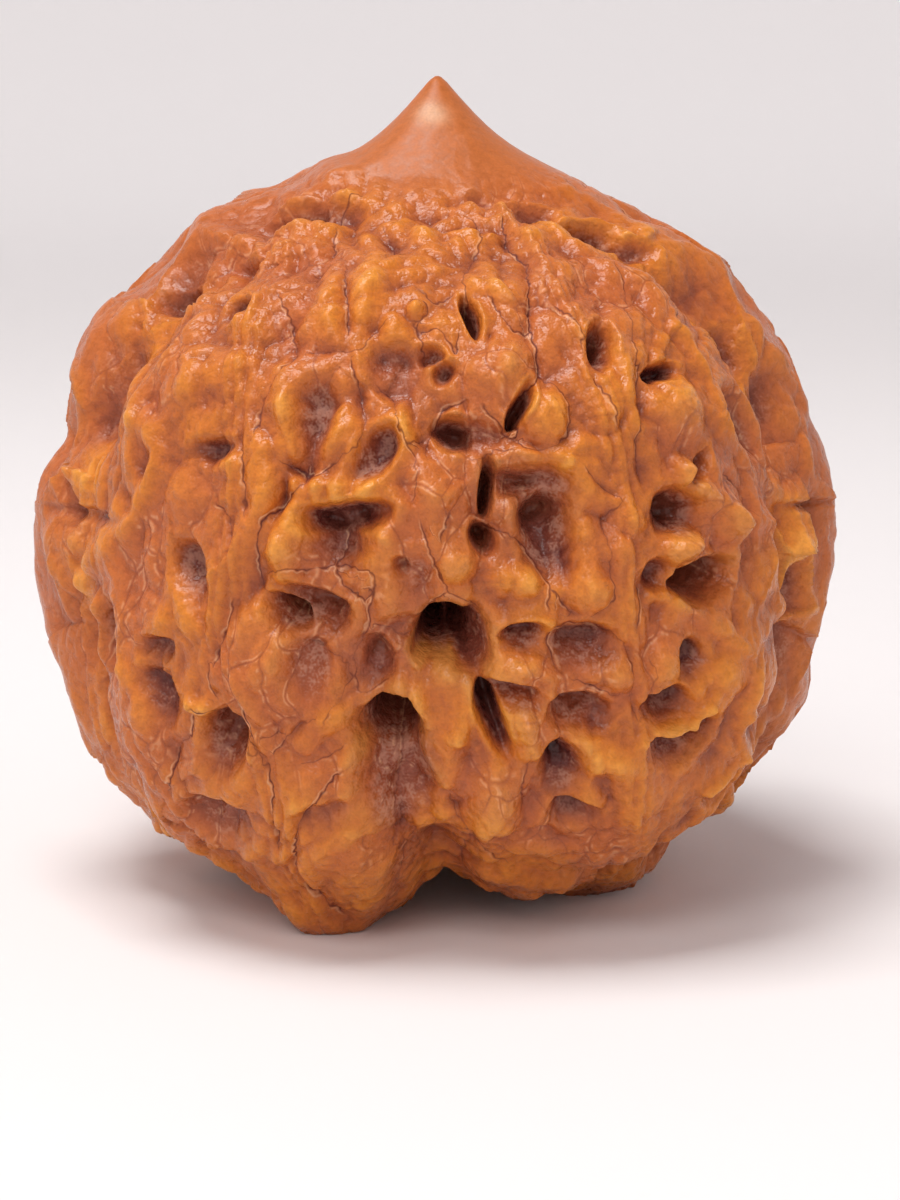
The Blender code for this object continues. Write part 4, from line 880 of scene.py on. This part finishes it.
class Bench:
    """A node tree, with one way to add any node."""

    def __init__(self, tree: bpy.types.NodeTree) -> None:
        """Keeps the tree."""
        self.tree = tree

    def join(self, socket: bpy.types.NodeSocket, value: Any) -> None:
        """Gives a socket its value or its link."""
        if isinstance(value, Wire):
            self.tree.links.new(value.socket, socket)
        else:
            socket.default_value = value

    def node(self, kind: str, settings: dict[str, Any] | None = None, sockets: dict[Any, Any] | None = None,
             out: Any = 0) -> Wire:
        """Adds a node.

        Args:
            kind: The node's type.
            settings: What is set on it before its sockets.
            sockets: The values or wires of its inputs, by name or number.
            out: The output that is wanted, by name or number.

        Returns:
            That output.
        """
        made = self.tree.nodes.new(kind)
        for name, value in (settings or {}).items():
            setattr(made, name, value)
        for name, value in (sockets or {}).items():
            self.join(made.inputs[name], value)
        return Wire(self, made.outputs[out])

    def maths(self, operation: str, one: Any, other: Any = 0.0) -> Wire:
        """Works out a sum of two numbers or wires."""
        return self.node("ShaderNodeMath", {"operation": operation}, {0: one, 1: other})

    def vectors(self, operation: str, one: Any, other: Any) -> Wire:
        """Works out a sum of two vectors."""
        return self.node("ShaderNodeVectorMath", {"operation": operation}, {0: one, 1: other})

    def mix(self, share: Any, one: Any, other: Any) -> Wire:
        """Mixes two colours."""
        return self.node("ShaderNodeMix", {"data_type": "RGBA"}, {0: share, 6: one, 7: other}, 2)

    def ramp(self, value: Any, stops: tuple) -> Wire:
        """Looks a value up in a row of (place, colour) stops."""
        made = self.tree.nodes.new("ShaderNodeValToRGB")
        elements = made.color_ramp.elements
        while len(elements) < len(stops):
            elements.new(0.5)
        for element, (place, shade) in zip(elements, stops):
            element.position = place
            element.color = shade
        self.join(made.inputs[0], value)
        return Wire(self, made.outputs[0])

    def noise(self, place: Any, size: float, detail: float = 2.0, out: str = "Fac") -> Wire:
        """Noise with hills of a size in millimetres."""
        return self.node("ShaderNodeTexNoise", None, {"Vector": place, "Scale": 1.0 / size, "Detail": detail,
                                                      "Roughness": 0.55}, out)


@dataclass(frozen=True)
class Folds:
    """The lengthwise folds of the skin: round backs with creases between them, a larger and a smaller set."""

    stretch: float = 0.42
    sizes: tuple[float, float] = (2.3, 1.25)
    heights: tuple[float, float] = (0.62, 0.38)
    seeds: tuple[int, int] = (44, 45)
    wander: float = 1.3
    wander_size: float = 4.2
    wander_seeds: tuple[int, int, int] = (41, 42, 43)

    def relief(self, points: np.ndarray) -> np.ndarray:
        """Draws the folds.

        Args:
            points: The body's points.

        Returns:
            The height of the relief at each point.
        """
        bent = points + self.wander * bend(points, self.wander_size, self.wander_seeds)
        here = bent * (1.0, 1.0, self.stretch)
        height = np.zeros(len(points))
        for size, most, seed in zip(self.sizes, self.heights, self.seeds):
            height += most * (np.abs(hills(here, size, seed)) ** 0.8 - 0.35)
        return height


@dataclass(frozen=True)
class Puckers:
    """The small puffy cells of the skin, drawn by the same nodes for the form and for the finish."""

    size: float = 2.0
    stretch: float = 0.5
    puff: float = 0.22
    small_puff: float = 0.06
    steepness: float = 2.6
    small_share: float = 0.5
    small_steepness: float = 5.0
    small_patch_size: float = 6.0
    swirl: float = 1.9
    swirl_size: float = 2.2

    def edge(self, bench: Bench, rest: Wire, share: float = 1.0) -> Wire:
        """Finds the borders of the cells.

        Args:
            bench: The node tree to draw in.
            rest: The place on the plain body, in millimetres.
            share: How large the cells are against the full size.

        Returns:
            How far it is to the nearest border, in millimetres.
        """
        swirl = bench.vectors("SUBTRACT", bench.noise(rest, self.swirl_size, 1.0, "Color"), (0.5, 0.5, 0.5))
        swirl = bench.vectors("MULTIPLY", swirl, (self.swirl,) * 3)
        here = bench.vectors("MULTIPLY", bench.vectors("ADD", rest, swirl), (1.0, 1.0, self.stretch))
        size = self.size * share
        return size * bench.node("ShaderNodeTexVoronoi", {"feature": "DISTANCE_TO_EDGE"},
                                 {"Vector": here, "Scale": 1.0 / size}, "Distance")

    def build_tree(self, material: bpy.types.Material) -> bpy.types.NodeTree:
        """Builds the Geometry Nodes tree that puffs the cells up.

        Args:
            material: The finish that the result is given.

        Returns:
            The tree, with the inputs "Geometry", "Puff" and "Small puff".
        """
        tree = bpy.data.node_groups.new("puckers", "GeometryNodeTree")
        tree.interface.new_socket("Geometry", in_out="INPUT", socket_type="NodeSocketGeometry")
        for name in ("Puff", "Small puff"):
            tree.interface.new_socket(name, in_out="INPUT", socket_type="NodeSocketFloat")
        tree.interface.new_socket("Geometry", in_out="OUTPUT", socket_type="NodeSocketGeometry")
        bench = Bench(tree)
        given = tree.nodes.new("NodeGroupInput")
        puff, small_puff = Wire(bench, given.outputs["Puff"]), Wire(bench, given.outputs["Small puff"])
        rest = bench.node("GeometryNodeInputNamedAttribute", {"data_type": "FLOAT_VECTOR"}, {"Name": "rest"})
        fine = bench.node("GeometryNodeInputNamedAttribute", {"data_type": "FLOAT"}, {"Name": "fine"})
        shows = bench.noise(rest, self.small_patch_size, 1.0).between(0.36, 0.56)
        small = 1.0 - math.e ** (self.edge(bench, rest, self.small_share) * -self.small_steepness)
        large = 1.0 - math.e ** (self.edge(bench, rest) * -self.steepness)
        height = puff * large + small_puff * small * shows
        outward = bench.vectors("NORMALIZE", bench.node("GeometryNodeInputPosition"), (0.0, 0.0, 0.0))
        shift = bench.node("ShaderNodeVectorMath", {"operation": "SCALE"},
                           {0: outward, "Scale": height * fine * METRES})
        moved = bench.node("GeometryNodeSetPosition", None,
                           {"Geometry": Wire(bench, given.outputs["Geometry"]), "Offset": shift})
        whole = bench.node("GeometryNodeRealizeInstances", None, {"Geometry": moved})
        dressed = bench.node("GeometryNodeSetMaterial", None, {"Geometry": whole, "Material": material})
        result = tree.nodes.new("NodeGroupOutput")
        bench.join(result.inputs["Geometry"], dressed)
        return tree


@dataclass
class WalnutShell:
    """The one piece: the whole nut in its shell."""

    body: PlainBody
    eye: Eye
    puckers: Puckers
    splits: int = 9
    triangles: int = 196000
    smooth_tip: tuple[float, float] = (12.0, 24.0)
    facing_fade: tuple[float, float] = (0.24, 0.46)
    net_share_in_front: float = 0.16
    net_share_under: float = 0.45
    wing_share: float = 0.28
    fine_share_on_wing: float = 0.3
    folds_share_on_wing: float = 0.35
    join_wander: float = 0.7
    join_depth: float = 0.22
    join_half_width: float = 0.3
    join_seen_within: float = 1.2
    join_seen_above: float = 0.3
    join_closeness: float = 0.8
    swells: tuple = ((0.25, 4.5, 21), (0.12, 1.9, 22), (0.05, 0.8, 23))
    carved_share_on_tip: float = 0.3
    swell_share_on_tip: float = 0.2
    near_blurs: int = 5
    wide_blurs: int = 70

    def shares(self, way: np.ndarray) -> dict[str, np.ndarray]:
        """Says how much of each kind of relief a place has.

        Args:
            way: Unit vectors from the middle.

        Returns:
            A number from 0 to 1 for each vector, by name.
        """
        points = way * self.body.radius(way)[:, None]
        on_wing = np.exp(-((points[:, 1] / self.body.wing_half_thickness) ** 4))
        on_wing = on_wing * smooth(-0.75, -0.45, way[:, 2])
        from_tip = np.degrees(np.arccos(np.clip(way[:, 2], -1.0, 1.0)))
        rough = smooth(*self.smooth_tip, from_tip)
        net = 1.0 - smooth(*self.facing_fade, way @ self.eye.axes()[0]) * (1.0 - self.net_share_in_front)
        net *= 1.0 - (1.0 - self.net_share_under) * smooth(-0.6, -0.85, way[:, 2])
        return {
            "wing": on_wing,
            "rough": rough,
            "net": net * (1.0 - on_wing * (1.0 - self.wing_share)) * rough,
            "fine": (1.0 - on_wing * (1.0 - self.fine_share_on_wing)) * rough,
            "folds": (1.0 - on_wing * (1.0 - self.folds_share_on_wing)) * rough,
        }

    def surface(self, way: np.ndarray) -> np.ndarray:
        """Shapes the shell, all but its puckers.

        Args:
            way: Unit vectors from its middle.

        Returns:
            How far it reaches along each.
        """
        radius = self.body.radius(way)
        points = way * radius[:, None]
        share = self.shares(way)
        front = CarvedFront(self.eye, self.body)
        carved = front.relief(points)[0] - front.seams(points)[2]
        low = sum(most * hills(points, size, seed) for most, size, seed in self.swells)
        carved = carved * (self.carved_share_on_tip + (1.0 - self.carved_share_on_tip) * share["rough"])
        low = low * (self.swell_share_on_tip + (1.0 - self.swell_share_on_tip) * share["rough"])
        radius += carved + RuledNet(self.body).relief(points)[0] * share["net"]
        radius += low + Folds().relief(points) * share["folds"]
        join = np.exp(-((self.off_join(points) / self.join_half_width) ** 2))
        return radius - self.join_depth * join * share["wing"] * share["rough"]

    def off_join(self, points: np.ndarray) -> np.ndarray:
        """How far points are in front of or behind the wandering line where the two halves meet."""
        return points[:, 1] - self.join_wander * hills(points, 5.0, 51) - 0.2 * hills(points, 1.5, 52)

    def write(self, mesh: bpy.types.Mesh, name: str, values: np.ndarray) -> None:
        """Keeps a number or a vector for each vertex of a mesh.

        Args:
            mesh: The mesh.
            name: The name of the values. "co" is where the vertices are.
            values: A row for each vertex.
        """
        if name == "co":
            mesh.vertices.foreach_set("co", values.astype(np.float32).ravel())
            mesh.update()
        else:
            flat = values.ndim == 1
            kept = mesh.attributes.new(name, "FLOAT" if flat else "FLOAT_VECTOR", "POINT")
            kept.data.foreach_set("value" if flat else "vector", values.astype(np.float32).ravel())

    def read(self, mesh: bpy.types.Mesh) -> np.ndarray:
        """The places of a mesh's vertices."""
        places = np.empty(len(mesh.vertices) * 3, dtype=np.float32)
        mesh.vertices.foreach_get("co", places)
        return places.reshape(-1, 3).astype(float)

    def blow_up(self) -> bpy.types.Object:
        """A fine ball, shaped to the shell round its middle, in metres."""
        ball = bmesh.new()
        bmesh.ops.create_icosphere(ball, subdivisions=self.splits, radius=1.0)
        mesh = bpy.data.meshes.new("walnut-as-modelled")
        ball.to_mesh(mesh)
        ball.free()
        way = self.read(mesh)
        way /= np.linalg.norm(way, axis=1)[:, None]
        self.write(mesh, "co", way * self.surface(way)[:, None] * METRES)
        self.write(mesh, "rest", way * self.body.radius(way)[:, None])
        self.write(mesh, "fine", self.shares(way)["fine"])
        piece = bpy.data.objects.new("walnut-as-modelled", mesh)
        bpy.context.scene.collection.objects.link(piece)
        return piece

    def finish_form(self, piece: bpy.types.Object, material: bpy.types.Material) -> bpy.types.Mesh:
        """Puffs the puckers up and thins the mesh where it is flat.

        Args:
            piece: The ball as modelled, which is then thrown away.
            material: The finish.

        Returns:
            The thinned mesh.
        """
        tree = self.puckers.build_tree(material)
        nodes = piece.modifiers.new("puckers", "NODES")
        nodes.node_group = tree
        sizes = {"Puff": self.puckers.puff, "Small puff": self.puckers.small_puff}
        for socket in tree.interface.items_tree:
            if socket.in_out == "INPUT" and socket.name in sizes:
                nodes[socket.identifier] = sizes[socket.name]
        thinner = piece.modifiers.new("thin the flat places", "DECIMATE")
        thinner.ratio = self.triangles / len(piece.data.polygons)
        bpy.context.view_layer.update()
        thinned = bpy.data.meshes.new_from_object(piece.evaluated_get(bpy.context.evaluated_depsgraph_get()))
        mesh = piece.data
        piece.modifiers.clear()
        bpy.data.objects.remove(piece)
        bpy.data.meshes.remove(mesh)
        for name in ("rest", "fine"):
            kept = thinned.attributes.get(name)
            if kept:
                thinned.attributes.remove(kept)
        return thinned

    def averaged(self, values: np.ndarray, edges: np.ndarray, times: int) -> np.ndarray:
        """Blurs a value over the surface.

        Args:
            values: One for each vertex.
            edges: The two vertices of each edge.
            times: How often each vertex takes the mean of its neighbours.

        Returns:
            The blurred values.
        """
        count = np.bincount(edges.ravel(), minlength=len(values))
        for _ in range(times):
            total = np.bincount(edges[:, 0], values[edges[:, 1]], len(values))
            total += np.bincount(edges[:, 1], values[edges[:, 0]], len(values))
            values = 0.5 * values + 0.5 * total / count
        return values

    def build(self, material: bpy.types.Material) -> bpy.types.Object:
        """Makes the shell's mesh and what its finish reads on it.

        Args:
            material: The finish.

        Returns:
            The finished object, at the origin with its place in its mesh.
        """
        mesh = self.finish_form(self.blow_up(), material)
        mesh.name = "walnut-shell"
        places = self.read(mesh) / METRES
        reach = np.linalg.norm(places, axis=1)
        way = places / reach[:, None]
        radius = self.body.radius(way)
        share = self.shares(way)
        rest = way * radius[:, None]
        front = CarvedFront(self.eye, self.body)
        beside, close, _ = front.seams(rest)
        # How much darker the hollows are coloured: partly stain, partly painted shade.
        stain_and_painted_shade = np.maximum(front.relief(rest)[1], RuledNet(self.body).relief(rest)[1] * share["net"])
        off_join = self.off_join(rest)
        joined = share["wing"] * share["rough"] * (np.abs(off_join) < self.join_seen_within)
        seen = joined > self.join_seen_above
        beside = np.where(seen, off_join, beside)
        close = np.where(seen, self.join_closeness * joined, close)

        edges = np.empty(len(mesh.edges) * 2, dtype=np.int32)
        mesh.edges.foreach_get("vertices", edges)
        edges = edges.reshape(-1, 2)
        # How high each place lies against its surroundings; the finish turns this into its tones and into
        # painted shade and highlight.
        height = reach - radius
        near = self.averaged(height, edges, self.near_blurs)
        wide = self.averaged(near, edges, self.wide_blurs)
        self.write(mesh, "rest", rest)
        kept = {
            "seam_side": beside,
            "seam_close": close,
            "fine": share["fine"],
            "stain_and_painted_shade": stain_and_painted_shade,
            "wing": share["wing"],
            "smooth_tip": 1.0 - share["rough"],
            "swell": height - near,
            "rise": near - wide,
            "sunk": -wide,
        }
        for name, values in kept.items():
            self.write(mesh, name, values)

        low, high = (np.array(corner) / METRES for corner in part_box("walnut"))
        places[:, 2] += self.body.middle_height
        middle = (places.min(axis=0) + places.max(axis=0)) / 2.0
        places[:, :2] += ((low + high) / 2.0 - middle)[:2]
        places[:, 2] = np.maximum(places[:, 2], 0.0)
        self.write(mesh, "co", places * METRES)
        mesh.shade_smooth()
        shell = bpy.data.objects.new("walnut-shell", mesh)
        bpy.context.scene.collection.objects.link(shell)
        return shell


def colour(red: int, green: int, blue: int) -> tuple[float, float, float, float]:
    """Turns a colour as a screen shows it into the amounts of light that Blender takes."""
    parts = [part / 255.0 for part in (red, green, blue)]
    return (*(part / 12.92 if part <= 0.04045 else ((part + 0.055) / 1.055) ** 2.4 for part in parts), 1.0)


@dataclass(frozen=True)
class HandledShell:
    """The finish of a shell that was brushed, oiled and handled for years. Its colour also carries painted
    shade in hollows and creases and painted highlights on crests and beside cracks.
    """

    puckers: Puckers
    eye: Eye
    body: PlainBody
    name: str = "handled-shell"
    # Colours from the lowest place to the highest: nearly black in the deepest hollows, which is painted
    # shade over the hollows' darker tone, and golden on the crests, which is polish and painted highlight.
    shade_and_tone_by_height: tuple = (
        (0.0, colour(20, 6, 6)),
        (0.2, colour(46, 16, 15)),
        (0.4, colour(96, 41, 34)),
        (0.55, colour(146, 74, 44)),
        (0.67, colour(181, 98, 44)),
        (0.78, colour(198, 112, 41)),
        (0.9, colour(209, 126, 45)),
        (1.0, colour(222, 146, 60)),
    )
    deepest: float = -1.85
    highest: float = 0.78
    ruddy: tuple = colour(180, 94, 54)
    # A mauve for broad low places: partly the purplish bloom of the hollows, partly painted shade.
    mauve_bloom_and_shade: tuple = colour(150, 84, 64)
    # A dark purple-brown for the hollows: partly the nut's stain there, partly painted shade.
    stain_and_painted_shade: tuple = colour(104, 48, 42)
    wing: tuple = colour(178, 94, 44)
    crack: tuple = colour(90, 30, 22)
    hairline: tuple = colour(130, 62, 40)
    # A pale cream painted highlight, laid beside the cracks and the fine lines.
    lip: tuple = colour(238, 186, 144)
    dust: tuple = colour(184, 142, 122)
    tip: tuple = colour(178, 98, 46)
    worn: tuple = colour(236, 200, 164)
    worn_at: tuple[float, float] = (-0.3, 20.9)
    worn_reach: float = 0.75
    cloud_size: float = 5.5
    blotch_size: float = 1.8
    speck_size: float = 0.4
    grit_size: float = 0.13
    ruddy_share: float = 0.55
    mauve_bloom_and_shade_share: float = 0.35
    wing_share: float = 0.7
    tip_share: float = 0.85
    worn_share: float = 0.45
    dust_share: float = 0.4
    hairline_share: float = 0.45
    # How strong the painted highlights beside the cracks are.
    lip_share: float = 0.45
    line_half_width: float = 0.04
    roughness: float = 0.30
    gloss: float = 0.28

    def make(self) -> bpy.types.Material:
        """Builds the material.

        Returns:
            The material, which reads what the shell keeps on its mesh.
        """
        material = bpy.data.materials.new(self.name)
        material.use_nodes = True
        material.node_tree.nodes.clear()
        bench = Bench(material.node_tree)

        def kept(name: str, out: str = "Fac") -> Wire:
            """Reads what the mesh keeps under a name."""
            return bench.node("ShaderNodeAttribute", {"attribute_name": name}, out=out)

        rest = kept("rest", "Vector")
        rise, sunk, fine, wing, tip = (kept(name) for name in ("rise", "sunk", "fine", "wing", "smooth_tip"))
        cloud = bench.noise(rest, self.cloud_size, 1.0)
        blotch = bench.noise(rest, self.blotch_size, 1.0)
        place = bench.node("ShaderNodeTexCoord", out="Object")
        speck = bench.noise(place, self.speck_size * METRES, 0.0)
        grit = bench.noise(place, self.grit_size * METRES, 0.0)

        # Lower than the surroundings is darker and higher is paler, small bumps most: painted shade in
        # hollows and creases, and polish with painted highlight on crests.
        level = rise + kept("swell") * 1.6 - sunk * 0.12 + (blotch - 0.5) * 0.45 + (speck - 0.5) * 0.2
        base = bench.ramp((level - self.deepest) / (self.highest - self.deepest), self.shade_and_tone_by_height)
        base = bench.mix(cloud.between(0.4, 0.66) * self.ruddy_share, base, self.ruddy)
        # Broad low places turn mauve: partly bloom, partly painted shade.
        base = bench.mix(sunk.between(0.2, 1.2) * self.mauve_bloom_and_shade_share, base, self.mauve_bloom_and_shade)
        # The hollows darken towards this purple-brown: partly stain, partly painted shade.
        stained_and_shaded = kept("stain_and_painted_shade")
        base = bench.mix(stained_and_shaded * (0.1 + 0.5 * blotch), base, self.stain_and_painted_shade)
        base = bench.mix(wing * self.wing_share, base, self.wing)
        base = bench.mix(tip * self.tip_share, base, self.tip)
        spot = tuple(float(part) for part in self.eye.on_body(self.body, [self.worn_at])[0])
        off_spot = bench.node("ShaderNodeVectorMath", {"operation": "DISTANCE"}, {0: rest, 1: spot}, "Value")
        wear = (off_spot + (blotch - 0.5) * 0.8).bump(self.worn_reach)
        base = bench.mix(wear * self.worn_share, base, self.worn)
        floors = stained_and_shaded.between(0.25, 0.6) * level.between(-1.3, -0.5)
        dusty = floors * (speck * 0.45 + grit * 0.45 + blotch * 0.6).between(0.70, 0.9)
        base = bench.mix(dusty * self.dust_share, base, self.dust)

        edge = self.puckers.edge(bench, rest)
        patchy = cloud.between(0.5, 0.62) * fine
        hairline = edge.bump(self.line_half_width) * patchy
        beside = kept("seam_side") + (speck - 0.5) * 0.3
        side = abs(beside)
        close = kept("seam_close")
        width = 0.006 + 0.06 * blotch
        crack = side.bump(width) * close
        # Broken pale strokes along one lip of each crack and beside the fine lines: painted highlights.
        lip = (beside - width * 1.6 - 0.035).bump(self.line_half_width) * close * blotch.between(0.46, 0.6)
        hairline_highlight = (edge - 0.09).bump(self.line_half_width) * patchy * speck.between(0.5, 0.62)
        base = bench.mix(hairline * self.hairline_share, base, self.hairline)
        base = bench.mix(crack * (blotch.between(0.36, 0.54) * 0.45 + 0.5), base, self.crack)
        base = bench.mix((lip + hairline_highlight * 0.6) * self.lip_share, base, self.lip)
        grain = (speck - 0.5) * 0.26 + (grit - 0.5) * 0.24 + 1.0
        grey = bench.node("ShaderNodeCombineColor", None, {0: grain, 1: grain, 2: grain})
        base = bench.node("ShaderNodeMix", {"data_type": "RGBA", "blend_type": "MULTIPLY"},
                          {0: 1.0, 6: base, 7: grey}, 2)

        roughness = self.roughness + (speck - 0.5) * 0.2 + crack * 0.3 + dusty * 0.3 + tip * 0.14
        relief = (speck * 0.13 + grit * 0.035) * (0.2 + 0.8 * fine)
        bump = bench.node("ShaderNodeBump", None, {"Strength": 0.8, "Distance": METRES, "Height": relief})
        surface = bench.node("ShaderNodeBsdfPrincipled", None, {
            "Base Color": base,
            "Roughness": roughness,
            "Normal": bump,
            "Specular IOR Level": self.gloss,
        })
        output = material.node_tree.nodes.new("ShaderNodeOutputMaterial")
        bench.join(output.inputs["Surface"], surface)
        return material


@dataclass
class Studio:
    """The plain pale floor and backdrop, the soft light and the camera."""

    eye: Eye
    body: PlainBody
    floor_colour: tuple = colour(234, 231, 231)
    floor_radius: float = 0.5
    bend_radius: float = 0.4
    wall_height: float = 1.3
    glow: float = 0.27
    glow_from: tuple[float, float] = (0.20, 0.65)
    bend_steps: int = 16
    sides: int = 96
    aimed_at: tuple[float, float, float] = (0.0, 0.0, 0.02)
    box_tint: tuple[float, float, float] = (1.0, 0.985, 0.97)
    room_tint: tuple[float, float, float, float] = (1.0, 0.86, 0.98, 1.0)
    room_strength: float = 0.075

    def build_floor(self) -> bpy.types.Object:
        """A round floor that bends up into a wall, the same from all sides.

        Returns:
            The floor's object.
        """
        profile = [(0.06, 0.0), (0.25, 0.0), (self.floor_radius, 0.0)]
        for step in range(1, self.bend_steps + 1):
            turn = math.radians(90.0 * step / self.bend_steps)
            profile.append((self.floor_radius + self.bend_radius * math.sin(turn),
                            self.bend_radius * (1.0 - math.cos(turn))))
        profile.append((profile[-1][0], self.wall_height))
        sheet = bmesh.new()
        middle = sheet.verts.new((0.0, 0.0, 0.0))
        turns = [math.tau * step / self.sides for step in range(self.sides)]
        rings = [[sheet.verts.new((out * math.cos(turn), out * math.sin(turn), up)) for turn in turns]
                 for out, up in profile]
        for one in range(self.sides):
            other = (one + 1) % self.sides
            sheet.faces.new((middle, rings[0][one], rings[0][other]))
            for inner, outer in zip(rings, rings[1:]):
                sheet.faces.new((inner[one], outer[one], outer[other], inner[other]))
        mesh = bpy.data.meshes.new("studio-floor")
        sheet.to_mesh(mesh)
        sheet.free()
        mesh.shade_smooth()
        material = bpy.data.materials.new("studio-paper")
        material.use_nodes = True
        paper = material.node_tree.nodes["Principled BSDF"]
        bench = Bench(material.node_tree)
        place = bench.node("ShaderNodeTexCoord", out="Object")
        # The paper glows from 0.2 m out, more the farther it is from the nut: painted light on the far floor
        # and wall, which also lightens the shadows.
        away = bench.node("ShaderNodeVectorMath", {"operation": "LENGTH"}, {0: place}, "Value")
        glow = bench.mix(away.between(*self.glow_from), (0.0, 0.0, 0.0, 1.0), self.floor_colour)
        bench.join(paper.inputs["Emission Color"], glow)
        paper.inputs["Emission Strength"].default_value = self.glow
        paper.inputs["Base Color"].default_value = self.floor_colour
        paper.inputs["Roughness"].default_value = 0.85
        paper.inputs["Specular IOR Level"].default_value = 0.2
        mesh.materials.append(material)
        floor = bpy.data.objects.new("studio-floor", mesh)
        bpy.context.scene.collection.objects.link(floor)
        floor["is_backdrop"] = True
        return floor

    def soft_box(self, name: str, place: tuple[float, float, float], size: float, watts: float) -> None:
        """Hangs a square soft light.

        Args:
            name: Its name.
            place: Where it hangs, in metres.
            size: The length of its side.
            watts: Its power.
        """
        light = bpy.data.lights.new(name, "AREA")
        light.energy = watts
        light.size = size
        light.color = self.box_tint
        lamp = bpy.data.objects.new(name, light)
        lamp.location = place
        aim = Vector(self.aimed_at) - lamp.location
        lamp.rotation_euler = aim.to_track_quat("-Z", "Y").to_euler()
        bpy.context.scene.collection.objects.link(lamp)

    def light(self) -> None:
        """Sets the soft light: a broad box above on the left, a weaker one in front, and the room."""
        self.soft_box("key-box", (-0.10, -0.05, 0.50), 0.23, 2.04)
        self.soft_box("front-box", (-0.10, -0.38, 0.40), 0.20, 0.62)
        world = bpy.data.worlds.new("room")
        world.use_nodes = True
        room = world.node_tree.nodes["Background"]
        room.inputs["Color"].default_value = self.room_tint
        room.inputs["Strength"].default_value = self.room_strength
        bpy.context.scene.world = world
        bpy.context.scene.view_settings.view_transform = "Standard"

    def place_camera(self) -> bpy.types.Object:
        """Sets up the camera where the eye is, framed as the picture is.

        Returns:
            The camera.
        """
        lens = bpy.data.cameras.new("camera")
        camera = bpy.data.objects.new("camera", lens)
        to_eye = Vector(self.eye.axes()[0])
        middle = Vector((0.0, 0.0, self.body.middle_height))
        camera.location = (middle + to_eye * self.eye.distance) * METRES
        camera.rotation_euler = (-to_eye).to_track_quat("-Z", "Y").to_euler()
        lens.sensor_fit = "HORIZONTAL"
        lens.sensor_width = 36.0
        lens.lens = 36.0 * self.eye.distance / (PICTURE_WIDTH * ACROSS_MM / ACROSS_PIXELS)
        lens.shift_x = (PICTURE_WIDTH / 2.0 - NUT_MIDDLE_PIXEL[0]) / PICTURE_WIDTH
        lens.shift_y = (NUT_MIDDLE_PIXEL[1] - PICTURE_HEIGHT / 2.0) / PICTURE_WIDTH
        lens.clip_start = 0.01
        bpy.context.scene.collection.objects.link(camera)
        bpy.context.scene.camera = camera
        return camera


def main(cad_box: Any) -> None:
    """Builds the nut's shell and the studio in order.

    Args:
        cad_box: The box straight after the frame was loaded; it is not used.
    """
    logging.basicConfig(level=logging.INFO, format="%(name)s: %(message)s")
    eye = Eye()
    body = PlainBody()
    puckers = Puckers()
    shell = WalnutShell(body, eye, puckers).build(HandledShell(puckers, eye, body).make())
    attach(shell, "root")
    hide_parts("walnut")
    LOG.info("%s: %d triangles", shell.name, len(shell.data.polygons))
    studio = Studio(eye, body)
    studio.build_floor()
    studio.light()
    studio.place_camera()
    LOG.info("studio: floor, light and camera")


if __name__ == "__main__":
    main(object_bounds())
